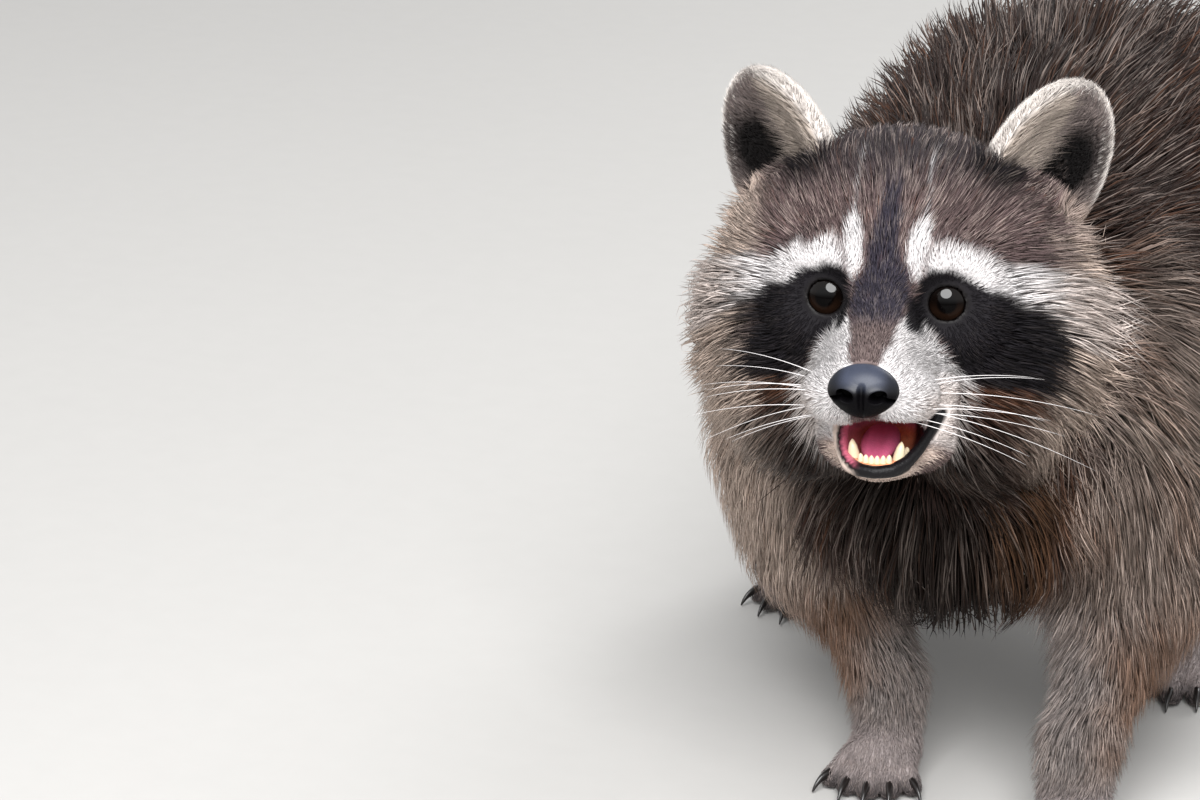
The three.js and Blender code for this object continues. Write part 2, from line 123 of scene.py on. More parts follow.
def head_lie(q):
    """The way a head mass's fur lies, given in the head's frame."""
    return np.asarray(q, float) @ HEAD_TURN.T


HEAD = [
    egg((0, 46, 14), (42.5, 46.5, 35.5), 6.5, 6, (0, 1.0, 0.45)),  # skull
    egg((0, 16, 7), (29, 26, 23), 4, 10, (0, 0.6, 0.85)),  # forehead
    rod((0, 2, 4), 13, (0, -43.5, -16.8), 7.8, 1.15, 2, 8, (0, 1, 0.5)),  # bridge of the nose
    rod((0, 6, -18), 23, (0, -37, -28), 10.8, 1.15, 3, 10, (0, 1, -0.1)),  # muzzle
    egg((0, -49, -23.6), (10.8, 8, 8.7), 0.6, 5, (0, 1, 0.1)),  # behind the nose pad
    *pair(egg((11.5, -34, -28), (10.8, 15, 8.3), 2.5, 7, (0.55, 1, -0.25))),  # whisker pads
    *pair(egg((18, 6, 14), (15, 11, 7.5), 2.5, 9, (0.8, 0.55, 0.35))),  # brows
    *pair(egg((36, 36, 18), (18, 22, 17), 5, 12, (0.6, 0.8, 0.35))),  # temples
    *pair(egg((28, 26, -10), (20.5, 29.5, 23.5), 4.5, 12, (1.0, 0.6, -0.12))),  # cheekbones
    *pair(egg((46, 44, -16), (21, 27, 29), 16, 16, (1.0, 0.7, -0.4))),  # ruff
    *pair(egg((30, 34, -42), (25, 31, 21), 13, 16, (0.7, 0.7, -0.9))),  # jowls
]
JAW = [
    rod((JAW_ASIDE, -37, -52.6), 3, (0, 8, -38), 14, 1.65, 1.8, 6),  # chin to the jaw's angle
    egg((4, -31, -53.4), (12.4, 12.6, 3.2), 1.4, 6, (0, 1, -0.3)),  # chin
    *pair(rod((21, -11, -31), 7, (20.5, -19, -47), 6, 1, 2.5, 12, (0.6, 1, -0.3)), MOUTH_MIDDLE),  # cheeks
    egg((0, 22, -42), (26, 26, 16), 12, 12, (0, 1, -0.6)),  # throat
]
MOUTH = egg((MOUTH_MIDDLE, -31, -43), (13.2, 28, 10.3), 0, 0)
LIP = ((-13, -17, -36.5), (-11.2, -26, -43.5), (-9.3, -33.5, -49), (-6.6, -38.8, -52.0), (-2, -42.4, -53.2),
       (3.5, -43.6, -53.5), (9.5, -42, -52.7), (14.2, -38, -50.2), (17.6, -32.5, -46.3), (20.5, -26, -41.2),
       (22.8, -20, -36.5), (24.2, -14, -33))
LIP_THICK = (1.2, 1.8, 2.1, 2.2, 2.2, 2.2, 2.2, 2.2, 2.0, 1.8, 1.4, 1.0)
EYE_HOLLOW = egg((24, -10.5, -0.5), (14.0, 12.5, 11.0), 0, 0)

TRUNK = [
    egg((8, 106, 162), (64, 52, 58), 26, 20, (0, 1, -0.45)),  # chest
    egg((8, 62, 128), (38, 24, 36), 24, 20, (0, 0.35, -1)),  # breast
    egg((8, 186, 172), (78, 74, 72), 28, 26, (0, 1, -0.3)),  # barrel
    egg((8, 256, 180), (80, 66, 76), 28, 26, (0, 1, -0.35)),  # hips
    egg((8, 308, 168), (56, 44, 56), 26, 24, (0, 0.8, -0.6)),  # rump
    *pair(egg((64, 96, 150), (26, 40, 52), 16, 16, (0.05, 0.45, -0.9)), BODY_MIDDLE),  # shoulders
    *pair(egg((70, 256, 130), (28, 48, 50), 18, 22, (0.05, 0.5, -0.85)), BODY_MIDDLE),  # thighs
]
NECK = rod(from_head((0, 60, -6)), 38, (8, 98, 178), 60, 1, 20, 20, (0, 1, -0.35))
LEGS = {
    "front_right": {"upper": [rod((-55, 89, 128), 30, (-53, 97, 86), 21, 1, 14, 18)],
                    "lower": [rod((-49, 98, 88), 17, (-19, 79, 34), 9, 1, 8, 14),
                              rod((-19, 79, 34), 9, (-15, 68, 13), 9.5, 1.2, 2.5, 8)],
                    "toe": (-15, 38), "turn": 6, "hind": False},
    "front_left": {"upper": [rod((70, 86, 128), 28, (74, 84, 84), 19, 1, 14, 18)],
                   "lower": [rod((74, 82, 88), 17, (66, 45, 34), 9, 1, 8, 14),
                             rod((66, 45, 34), 9, (67, 34, 13), 9.5, 1.2, 2.5, 8)],
                   "toe": (68, 4), "turn": -6, "hind": False},
    "hind_right": {"upper": [rod((-54, 262, 130), 36, (-84, 240, 88), 25, 1, 14, 22)],
                   "lower": [rod((-84, 246, 86), 22, (-97, 284, 36), 11, 1, 9, 18),
                             rod((-97, 284, 36), 11, (-98, 284, 13), 9.5, 1, 3, 8)],
                   "toe": (-104, 203), "turn": -3, "hind": True},
    "hind_left": {"upper": [rod((70, 246, 130), 36, (84, 210, 88), 25, 1, 14, 22)],
                  "lower": [rod((84, 216, 86), 22, (77, 252, 36), 11, 1, 9, 18),
                            rod((77, 252, 36), 11, (76, 252, 13), 9.5, 1, 3, 8)],
                  "toe": (72, 171), "turn": 3, "hind": True},
}
PAWS = {
    False: {"palm": ((0, 32, 8.5), 9.0, (0, 21, 8), 10.5, 1.25), "root_y": 21, "thick": 4.4, "tip_thick": 3.7,
            "digits": ((-10, -15.5, 8), (-6, -8.2, 2.5), (0, 0, 0), (6, 8.2, 2.5), (10, 15.5, 8))},
    True: {"palm": ((0, 84, 8.5), 9.5, (0, 30, 8), 12.0, 1.2), "root_y": 27, "thick": 4.8, "tip_thick": 3.9,
           "digits": ((-12, -18, 12), (-7, -10, 4), (0, 0, 0), (7, 10, 4), (12, 18, 12))},
}
DIGIT_COAT, PALM_COAT, SOLE_PRESS = 1.0, 1.5, 0.7
TAIL = (((8, 335, 196), 17, 12), ((10, 388, 158), 13, 16), ((16, 440, 112), 12, 19),
        ((26, 500, 72), 10, 19), ((38, 556, 50), 5, 15))


def paw_place(leg):
    """The matrix and origin that carry a paw's own frame to its place."""
    return turn("z", leg["turn"]), np.array((*leg["toe"], 0.0))


def digit_line(paw, digit):
    """Root and tip of one digit's middle line in the paw's frame."""
    root_x, tip_x, tip_back = digit
    tip = np.array((tip_x, tip_back + paw["tip_thick"] + DIGIT_COAT,
                    paw["tip_thick"] + DIGIT_COAT - SOLE_PRESS))
    return np.array((root_x, paw["root_y"], paw["thick"] + DIGIT_COAT + 3.0)), tip


def paw_masses(leg):
    """Palm and five digits of one leg's paw, in the animal's frame."""
    paw = PAWS[leg["hind"]]
    matrix, origin = paw_place(leg)
    start, start_radius, end, end_radius, wide = paw["palm"]
    start, end = matrix @ start + origin, matrix @ end + origin
    masses = [rod(start, start_radius, end, end_radius, wide, PALM_COAT, 5)]
    for digit in paw["digits"]:
        root, tip = digit_line(paw, digit)
        masses.append(rod(matrix @ root + origin, paw["thick"], matrix @ tip + origin, paw["tip_thick"],
                          1, DIGIT_COAT, 3.0))
    return masses


def tail_masses():
    """Rods from joint to joint of the tail."""
    return [rod(a, flesh_a, b, flesh_b, 1, (coat_a + coat_b) / 2, 10)
            for (a, flesh_a, coat_a), (b, flesh_b, coat_b) in zip(TAIL, TAIL[1:])]


LEG_MASSES = [mass for leg in LEGS.values() for mass in leg["upper"] + leg["lower"]]
PAW_MASSES = [mass for leg in LEGS.values() for mass in paw_masses(leg)]
TAIL_MASSES = tail_masses()
BODY = [NECK, *TRUNK, *LEG_MASSES, *TAIL_MASSES, *PAW_MASSES]


def mass_field(mass, p):
    """Signed distance, near enough, below zero inside the mass. For a rod it is the distance from its middle
    line less the radius there. For an egg, with r the length of the point scaled by the radii, it is
    r (r - 1) over the length of that point scaled by them again."""
    if mass.b is None:
        inward = (p - mass.a) / mass.ra
        length = np.sqrt((inward * inward).sum(-1)) + 1e-6
        steep = inward / mass.ra
        return length * (length - 1.0) / (np.sqrt((steep * steep).sum(-1)) + 1e-6)
    squeeze = np.array((1.0 / mass.wide, 1.0, 1.0))
    start = mass.a * squeeze
    run = mass.b * squeeze - start
    rel = p * squeeze - start
    t = np.clip((rel @ run) / (run @ run), 0.0, 1.0)
    away = rel - t[..., None] * run
    return np.sqrt((away * away).sum(-1)) - (mass.ra + t * (mass.rb - mass.ra))


def smooth_min(a, b, k):
    """The lower of two fields, rounded over a width k where they meet: their mix by h less k h (1 - h), where
    h goes from 0 to 1 as b - a goes from -k to k."""
    h = np.clip(0.5 + 0.5 * (b - a) / k, 0.0, 1.0)
    return b + (a - b) * h - k * h * (1.0 - h)


def smooth_max(a, b, k):
    """The higher of two fields, rounded over a width k."""
    return -smooth_min(-a, -b, k)


def union(masses, p):
    """Smooth union of masses, each with its own softness."""
    d = mass_field(masses[0], p)
    for mass in masses[1:]:
        d = smooth_min(d, mass_field(mass, p), mass.blend)
    return d


def fold(q, aside=0.0):
    """Points mirrored on to the animal's left side."""
    m = q.copy()
    m[..., 0] = np.abs(m[..., 0] - aside)
    return m


EAR_TURN = turn("z", EAR["turn"]) @ turn("y", EAR["lean"])


def to_ear(q):
    """Head points in the folded ear's own frame: z along the ear, -y out of its hollow."""
    return (fold(q, EAR["aside"]) - np.array(EAR["centre"])) @ EAR_TURN


def ear_field(q):
    """A leaning egg with a cup taken out of its front: the higher of its field and the cup's with its sign
    changed."""
    e = to_ear(q)
    cup = egg(EAR["cup_at"], EAR["cup"], 0, 0)
    return smooth_max(mass_field(egg((0, 0, 0), EAR["radii"], 0, 0), e), -mass_field(cup, e), 1.6)


EYE_AT = np.array((EYE_SPACING / 2, EYE_DEPTH, 0.0))
EYE_LOOK = turn("z", 8.0) @ np.array((0.0, -1.0, 0.0))
LID, EYE_GAP = 1.0, 0.15
APERTURE = egg((0, 0, 0), (6.5, 7.6, 6.2), 0, 0)
APERTURE_AT = EYE_AT + EYE_LOOK * 7.2
# How widely the skin rounds the joins between its parts.
SOFT = {"socket": 8.0, "lid": 3.0, "ear": 9.0, "mouth": 1.5, "jaw": 3.0, "neck": 12.0, "aperture": 0.8}


def lip_field(q):
    """The lower lip: a soft cord along the mouth's edge from corner to corner."""
    cords = [rod(a, ra, b, rb, 1, 0, 0) for a, ra, b, rb in zip(LIP, LIP_THICK, LIP[1:], LIP_THICK[1:])]
    return np.min([mass_field(cord, q) for cord in cords], 0)


def skin_field(p):
    """The skin of the whole animal under its coat: the smooth union of head, lids, ears, jaw, lip and body,
    less the eyes' hollows, the mouth and the openings of the lids, and cut flat at the floor."""
    q = to_head(p)
    m = fold(q)
    head = union(HEAD, q)
    head = smooth_max(head, -mass_field(EYE_HOLLOW, m), SOFT["socket"])
    eye_away = np.sqrt(((m - EYE_AT) ** 2).sum(-1))
    head = smooth_min(head, eye_away - EYE_RADIUS - LID, SOFT["lid"])
    head = smooth_min(head, ear_field(q), SOFT["ear"])
    mouth = -mass_field(MOUTH, q)
    jaw = smooth_min(smooth_max(union(JAW, q), mouth, SOFT["mouth"]), lip_field(q), SOFT["mouth"])
    d = smooth_min(smooth_max(head, mouth, SOFT["mouth"]), jaw, SOFT["jaw"])
    d = smooth_min(d, union(BODY, p), SOFT["neck"])
    d = smooth_max(d, -mass_field(APERTURE, m - APERTURE_AT), SOFT["aperture"])
    d = np.maximum(d, EYE_RADIUS + EYE_GAP - eye_away)
    return np.maximum(d, -p[..., 2])


def gradient(field, p, step=0.4):
    """Unit gradient of a field by central differences, and its length."""
    g = np.empty_like(p)
    for k in range(3):
        offset = np.zeros(3)
        offset[k] = step
        g[..., k] = (field(p + offset) - field(p - offset)) / (2.0 * step)
    length = np.linalg.norm(g, axis=-1, keepdims=True) + 1e-9
    return g / length, length[..., 0]


def with_coat(mass):
    """The same mass grown by its coat."""
    if mass.b is None:
        return mass._replace(ra=mass.ra + mass.coat)
    return mass._replace(ra=mass.ra + mass.coat, rb=mass.rb + mass.coat)


HEAD_FURRED = [with_coat(mass) for mass in HEAD]
JAW_FURRED = [with_coat(mass) for mass in JAW]
BODY_FURRED = [with_coat(mass) for mass in BODY]


def coat_field(p):
    """The outline of the coat's tips, without the eyes' hollows and the open mouth."""
    q = to_head(p)
    d = smooth_min(union(HEAD_FURRED, q), union(JAW_FURRED, q), 6.0)
    return smooth_min(d, union(BODY_FURRED, p), 20.0)


# ---------------------------------------------------------------- meshes from fields
BLOCK = 4
MOST_TRIANGLES = 195000
FAR = 1000.0
REACH, MARGIN = 1.35, 1.5
LEAST_SLOPE, MOST_SLIDE = 0.3, 0.8
EYES_MIDDLE = from_head((0.0, EYE_DEPTH, 0.0))


def box_middle(node):
    """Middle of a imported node's box, in metres."""
    low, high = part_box(node)
    return (np.array(low) + np.array(high)) / 2.0


SHIFT = (box_middle("eye_right") + box_middle("eye_left")) / 2.0 / MM - EYES_MIDDLE


def to_model(p):
    """Millimetres of the animal's frame to metres of the model's frame."""
    return (p + SHIFT) * MM


def unit(v):
    """Vectors scaled to length one."""
    return v / (np.linalg.norm(v, axis=-1, keepdims=True) + 1e-9)


def in_parts(field, p, most=150000):
    """A field worked out in batches, to keep the memory small."""
    return np.concatenate([field(p[k:k + most]) for k in range(0, len(p), most)])


def in_batches(function, p, *rest, most=120000):
    """A function of points that gives several arrays, worked out in batches."""
    found = [function(p[k:k + most], *rest) for k in range(0, len(p), most)]
    return [np.concatenate(part) for part in zip(*found)]


def grid_lines(*stretches):
    """Grid lines over stretches of (start, end, spacing), and a few more, so that they fill the last
    block."""
    lines = [np.linspace(a, b, max(1, round((b - a) / h)) + 1)[:-1] for a, b, h in stretches]
    flat = np.concatenate(lines)
    step = flat[-1] - flat[-2]
    extra = BLOCK + (-len(flat)) % BLOCK
    return np.concatenate([flat, flat[-1] + step * np.arange(1, extra + 1)])


def along(axis, values):
    """One block's worth of values in each row, turned to run along one axis of the blocks."""
    return values.reshape(-1, *(BLOCK if k == axis else 1 for k in range(3)))


def banded_samples(field, lines):
    """The field on a grid: exact in every block that the surface may touch, and far in or out elsewhere. The
    surface may touch a block if the field at its middle is less than about the block's half diagonal."""
    blocks = [line.reshape(-1, BLOCK) for line in lines]
    middles = [block.mean(1) for block in blocks]
    halves = [np.gradient(middle) * 0.5 for middle in middles]
    centre = np.stack(np.meshgrid(*middles, indexing="ij"), -1)
    reach = np.sqrt(sum(h ** 2 for h in np.meshgrid(*halves, indexing="ij")))
    rough = in_parts(field, centre.reshape(-1, 3)).reshape(reach.shape)
    values = np.where(rough < 0, -FAR, FAR).astype(np.float32)
    for axis in range(3):
        values = np.repeat(values, BLOCK, axis)
    near = np.nonzero(np.abs(rough) < reach * REACH + MARGIN)
    shape = (len(near[0]), BLOCK, BLOCK, BLOCK)
    fine = [np.broadcast_to(along(axis, blocks[axis][near[axis]]), shape) for axis in range(3)]
    found = in_parts(field, np.stack(fine, -1).reshape(-1, 3)).astype(np.float32).reshape(shape)
    places = [along(axis, near[axis][:, None] * BLOCK + np.arange(BLOCK)) for axis in range(3)]
    values[tuple(places)] = found
    return values


def net_points(d, lines):
    """One point in each grid cell that the surface crosses, at the mean of its edges' crossings, and each
    cell's number, -1 where it has no point."""
    inside = d < 0
    cells = tuple(np.array(d.shape) - 1)
    corners = [(a, b, c) for a in (0, 1) for b in (0, 1) for c in (0, 1)]
    count = np.zeros(cells, np.uint8)
    for a, b, c in corners:
        count += inside[a:a + cells[0], b:b + cells[1], c:c + cells[2]]
    crossed_cells = np.nonzero((count > 0) & (count < 8))
    number = np.full(cells, -1, np.int64)
    number[crossed_cells] = np.arange(len(crossed_cells[0]))
    total, hits = np.zeros((len(crossed_cells[0]), 3)), np.zeros(len(crossed_cells[0]))
    for start in corners:
        for axis in range(3):
            if start[axis]:
                continue
            end = list(start)
            end[axis] = 1
            first = [n + o for n, o in zip(crossed_cells, start)]
            second = [n + o for n, o in zip(crossed_cells, end)]
            d1, d2 = d[tuple(first)], d[tuple(second)]
            crossed = (d1 < 0) != (d2 < 0)
            share = np.where(crossed, d1 / np.where(crossed, d1 - d2, 1.0), 0.0)
            for m in range(3):
                low, high = lines[m][first[m]], lines[m][second[m]]
                total[:, m] += np.where(crossed, low + (high - low) * share, 0.0)
            hits += crossed
    return total / hits[:, None], number


def net_quads(inside, number):
    """A quad round each grid edge that the surface crosses, from the points of the four cells that share it,
    turned to face outwards."""
    cells = number.shape
    quads = []
    for axis in range(3):
        b, c = (axis + 1) % 3, (axis + 2) % 3
        near_side, far_side = [slice(None)] * 3, [slice(None)] * 3
        near_side[axis], far_side[axis] = slice(0, -1), slice(1, None)
        first, second = inside[tuple(near_side)], inside[tuple(far_side)]
        place = list(np.nonzero(first != second))
        keep = (place[b] > 0) & (place[c] > 0) & (place[b] < cells[b]) & (place[c] < cells[c])
        place = [n[keep] for n in place]
        ring = []
        for back_b, back_c in ((1, 1), (0, 1), (0, 0), (1, 0)):
            cell = list(place)
            cell[b], cell[c] = place[b] - back_b, place[c] - back_c
            ring.append(number[tuple(cell)])
        ring = np.stack(ring, 1)
        quads.append(np.where(first[tuple(place)][:, None], ring, ring[:, ::-1]))
    quads = np.concatenate(quads)
    return quads[(quads >= 0).all(1)]


def surface_net(field, lines, polish=2):
    """A closed quad mesh where a field is zero: a net of points in the grid's cells, each then slid along the
    field's gradient on to the surface."""
    d = banded_samples(field, lines)
    points, number = net_points(d, lines)
    for _ in range(polish):
        way, steep = gradient(field, points, 0.3)
        move = np.clip(field(points) / np.maximum(steep, LEAST_SLOPE), -MOST_SLIDE, MOST_SLIDE)
        points = points - way * move[:, None]
    return points, net_quads(d < 0, number)


def split_quads(quads):
    """Two triangles for each quad."""
    return np.concatenate([quads[:, (0, 1, 2)], quads[:, (0, 2, 3)]])


def join(parts):
    """Several (points, faces) with faces of one size, as one."""
    starts = np.cumsum([0] + [len(points) for points, _ in parts[:-1]])
    return (np.concatenate([points for points, _ in parts]),
            np.concatenate([faces + start for (_, faces), start in zip(parts, starts)]))


def grid_faces(rows, columns):
    """Quads of a grid that closes round its columns."""
    r, c = np.meshgrid(np.arange(rows - 1), np.arange(columns), indexing="ij")
    following = (c + 1) % columns
    ring = (r * columns + c, r * columns + following, (r + 1) * columns + following, (r + 1) * columns + c)
    return np.stack(ring, -1).reshape(-1, 4)


def new_piece(name, points, faces, material, slot, stands_for=(), colours=None, uv=None):
    """A mesh object at the origin from points in millimetres of the animal's frame. Colours stand on points
    as the attribute Coat, and uv on face corners as the map OFBake."""
    if len(faces) * (faces.shape[1] - 2) > MOST_TRIANGLES:
        raise RuntimeError(f"{name} has {len(faces)} faces of {faces.shape[1]} corners")
    mesh = bpy.data.meshes.new(name)
    size = faces.shape[1]
    mesh.vertices.add(len(points))
    mesh.vertices.foreach_set("co", to_model(points).astype(np.float32).ravel())
    mesh.loops.add(faces.size)
    mesh.loops.foreach_set("vertex_index", faces.astype(np.int32).ravel())
    mesh.polygons.add(len(faces))
    mesh.polygons.foreach_set("loop_start", np.arange(0, faces.size, size, dtype=np.int32))
    mesh.update(calc_edges=True)
    mesh.polygons.foreach_set("use_smooth", np.ones(len(faces), bool))
    if colours is not None:
        layer = mesh.attributes.new("Coat", "FLOAT_COLOR", "POINT")
        layer.data.foreach_set("color", colours.astype(np.float32).ravel())
    if uv is not None:
        layer = mesh.uv_layers.new(name="OFBake")
        layer.data.foreach_set("uv", uv.astype(np.float32).ravel())
    mesh.materials.append(material)
    piece = bpy.data.objects.new(name, mesh)
    bpy.context.scene.collection.objects.link(piece)
    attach(piece, "root")
    if stands_for:
        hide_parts(*stands_for)


# ---------------------------------------------------------------- markings
# Outlines of the marks on the face: (sides from the middle), (the height or half width there), in the
# head's frame.
MASK_TOP = ((8.5, 10, 13, 16.5, 22.5, 29, 35, 41, 57, 70, 82),
            (2, 4.5, 9, 12.2, 11.4, 8.4, 4.8, 1.8, -9, -17, -26))
MASK_FOOT = ((9, 9.9, 13.6, 17, 20, 22.5, 28, 40, 53, 62, 72),
             (-1.5, -3.9, -8.5, -13, -17, -20, -24.5, -29, -31, -31, -30))
BROW_TOP = ((8, 22.5, 29, 36, 42, 50, 58, 67, 80), (17, 17.8, 17, 14.2, 11.8, 9, 5.5, 0.5, -6))
# Half widths of the marks along the middle: (heights), (half widths).
BRIDGE_HALF = ((-40, -13.5, -10.5, -7.3, -4.5, -3), (4.6, 5.2, 5.7, 6.3, 7.4, 9.0))
STRIPE_HALF = ((-8, -3, 0.3, 6, 13.7, 21.8, 29, 42, 54), (5.0, 7.6, 8.8, 7.8, 5.0, 3.7, 3.1, 2.4, 0.8))
TUFT_HALF = ((3, 7, 12, 18, 22, 27), (0.0, 1.8, 3.4, 3.8, 3.0, 0.0))
TUFT_SIDE, MUZZLE_SIDE, MASK_INNER = 10.9, 27.0, 8.9
MASK_END, RUFF_START, HEAD_LEAN = 53.0, 50.0, 5.0
TAIL_RINGS, RING_START, TAIL_TIP = 5.6, 0.42, 0.9
BODY_GRIZZLE = 0.46

Place = collections.namedtuple("Place", "p q side soft rough head tail lower paw run")


def tone(red, green, blue):
    """A colour given as 0-255 screen values, as linear light."""
    c = np.array((red, green, blue)) / 255.0
    return tuple(np.where(c <= 0.04045, c / 12.92, ((c + 0.055) / 1.055) ** 2.4))


def edge(value, width):
    """0 below -width, 1 above width, and 3 t squared - 2 t cubed between, where t is the share of the way."""
    t = np.clip(value / (2.0 * width) + 0.5, 0.0, 1.0)
    return t * t * (3.0 - 2.0 * t)


def disc(across, up, radius_across, radius_up):
    """1 at the middle of an ellipse, 0 on its rim and below 0 outside it."""
    return 1.0 - np.hypot(across / radius_across, up / radius_up)


def ripple(p, size, seed):
    """Soft noise of about -1..1: four sine waves in seeded directions of about the given wavelength."""
    rng = np.random.default_rng(seed)
    total = 0.0
    for _ in range(4):
        way = rng.normal(size=3)
        way /= np.linalg.norm(way)
        wave = 2.0 * math.pi / (size * rng.uniform(0.7, 1.4))
        total = total + np.sin(p @ way * wave + rng.uniform(0, 6.28))
    return total / 2.2


def tail_run(p):
    """How far along the tail each point is, 0 at its root to 1 at its tip."""
    joints = [np.array(joint, float) for joint, _, _ in TAIL]
    lengths = [np.linalg.norm(b - a) for a, b in zip(joints, joints[1:])]
    best, run = np.full(len(p), 1e9), np.zeros(len(p))
    before = 0.0
    for a, b, length in zip(joints, joints[1:], lengths):
        t = np.clip((p - a) @ (b - a) / length ** 2, 0.0, 1.0)
        away = np.linalg.norm(p - a - t[:, None] * (b - a), axis=1)
        nearer = away < best
        best = np.where(nearer, away, best)
        run = np.where(nearer, (before + t * length) / sum(lengths), run)
        before += length
    return run


def part_weights(p):
    """How far each point belongs to the head, the tail, the lower legs and the paws, 0 to 1."""
    q = to_head(p)
    head = edge(union(BODY_FURRED[:2], p) - smooth_min(union(HEAD_FURRED, q), union(JAW_FURRED, q), 6.0), 8.0)
    tail = edge(p[:, 1] - 345.0, 12.0)
    low = [np.min([mass_field(mass, p) for mass in leg["lower"]], 0) for leg in LEGS.values()]
    lower = edge(6.0 - np.min(low, 0), 6.0) * edge(96.0 - p[:, 2], 14.0) * (1.0 - tail)
    paw = edge(26.0 - p[:, 2], 8.0) * (1.0 - tail)
    return head, tail, lower, paw


def ear_hollow(e):
    """How far ear points lie in the dark hollow low in the cup, 0 to 1."""
    return edge(disc(e[:, 0] - 5.8, e[:, 2] - 4.5 - 0.3 * e[:, 0], 10.5, 16.0), 0.28)


def in_cup(e):
    """How far ear points lie in the cup and not on its back, 0 to 1."""
    return edge(2.0 - mass_field(egg(EAR["cup_at"], EAR["cup"], 0, 0), e), 1.0)


def body_marks(over, at):
    """Flanks, belly, rusty patches, dark spine, pale sides of the chest, a dark breast deepened by painted
    shade, legs, paws and tail rings."""
    x, y, z = at.p.T
    aside = np.abs(x - BODY_MIDDLE)
    over(edge(150.0 - z + 8 * at.rough, 40.0), "flank")
    over(edge(88.0 - z, 20.0) * edge(70 - aside, 14.0) * edge(y - 90, 12), "belly")
    over(edge(at.rough - 0.45, 0.35) * 0.5, "rust", 0.5)
    over(edge(34 - aside, 20) * edge(z - 205, 16) * 0.5, "dark")
    front = edge(92.0 - y + 6 * at.rough, 22.0) * edge(215.0 - z, 20.0)
    share = 0.6 - 0.3 * np.tanh(x / 30)
    over(front * edge(aside - 50 + 5 * at.rough, 9.0) * edge(z - 60, 20) * share, "ruff", 0.5)
    # The breast is dark brown fur, darkened further by painted shade.
    over(front * edge(32 - np.abs(x - 12) + 5 * at.rough, 14.0) * edge(165 - z, 16), "breast", 0.2)
    over(edge(disc(x - 38, z - 128, 13, 26) + 0.2 * at.rough, 0.5) * front * 0.25, "tan")
    over(at.lower, "leg", 0.6)
    outward = np.where(x < 20, x + 40.0, 88.0 - x)
    outer = edge(12.0 - outward + 3 * at.rough, 10.0) * edge(z - 30, 10) * edge(140 - y, 20)
    over(at.lower * outer * 0.75, "tan")
    over(at.paw, "paw", 0.35)
    over(at.paw * edge(7.5 - z, 2.5) * 0.75, "mask", 0.2)
    rings = edge(np.cos((at.run * TAIL_RINGS + RING_START) * 2.0 * math.pi) + 0.12 + 0.25 * at.soft, 0.30)
    over(at.tail, "tail", 0.6)
    over(at.tail * np.maximum(rings, edge(at.run - TAIL_TIP, 0.04)), "ring", 0.25)


def face_marks(over, at):
    """Forehead, crown, cheeks, ruff, throat, brows, middle stripe, bridge of the nose, mask and muzzle. The
    head leans in its coat, so the mask ends and the ruff starts nearer the middle on its right side than on
    its left."""
    head, side, soft = at.head, at.side, at.soft
    y, z = at.q[:, 1], at.q[:, 2]
    over(head, "forehead", 0.8)
    over(head * edge(z - 36 + 3 * soft, 9.0), "crown", 0.6)
    below = edge(-22.0 - z, 7.0) * edge(y + 14, 14)
    over(head * below, "cheek", 0.4)
    over(head * below * edge(at.rough + 0.2 * soft - 0.3, 0.5) * 0.35, "rust")
    outer = side - HEAD_LEAN * np.tanh(at.q[:, 0] / 20.0)
    rim = edge(outer - RUFF_START + 3 * soft + 0.25 * np.maximum(-z - 10, 0), 6.0) * edge(30.0 - z, 10.0)
    over(head * rim * 0.95, "ruff", 0.2)
    over(head * edge(-40.0 - z, 8.0) * edge(44.0 - side, 12.0) * edge(y + 6, 9.0), "throat", 0.4)
    top, foot = np.interp(side, *MASK_TOP), np.interp(side, *MASK_FOOT)
    brow = edge(np.interp(side, *BROW_TOP) + 1.2 * soft - z, 2.2) * edge(z - top + 2.6, 1.4)
    brow = brow * edge(side - 15.2, 1.2) * edge(96.0 - side, 6.0) * edge(60 - y, 10)
    over(head * brow, "white", 0.08)
    over(head * brow * edge(side - 50.0, 8.0) * 0.7, "cream", 0.2)
    tuft = edge(np.interp(z, *TUFT_HALF) - np.abs(side - TUFT_SIDE), 1.0)
    tuft = tuft * edge(28 - y, 5) * edge(z - 4.5, 1.5)
    over(head * tuft, "white", 0.08)
    stripe = edge(np.interp(z, *STRIPE_HALF) + 0.5 * soft - side, 1.2) * edge(z + 7, 3) * edge(37.0 - z, 5.0)
    over(head * stripe, "stripe", 0.35)
    over(head * edge(7.0 - side, 2.4) * edge(-4.0 - z, 2.5) * edge(z + 27, 4), "bridge", 0.3)
    fade = edge(MASK_END - outer + 3 * soft, 4.5) * edge(34.0 - y, 7.0)
    mask = edge(top - z + 0.8 * soft, 1.2) * edge(z - foot + 0.9 * soft, 1.6)
    mask = mask * edge(side - MASK_INNER, 0.9) * fade
    over(head * mask, "mask", 0.06)
    muzzle = edge(side - np.interp(z, *BRIDGE_HALF) + 0.4 * soft, 1.0) * edge(foot - z + 0.4 * soft, 1.2)
    muzzle = muzzle * edge(MUZZLE_SIDE - side, 1.6) * edge(3.0 - y, 5.0) * edge(-2.0 - z, 1.0)
    muzzle = muzzle * edge(z + 41 + 0.35 * (y + 40), 3)
    over(head * muzzle, "white", 0.03)
    over(head * muzzle * edge(side - 17, 4) * edge(-26 - z, 4) * 0.5, "cream", 0.1)


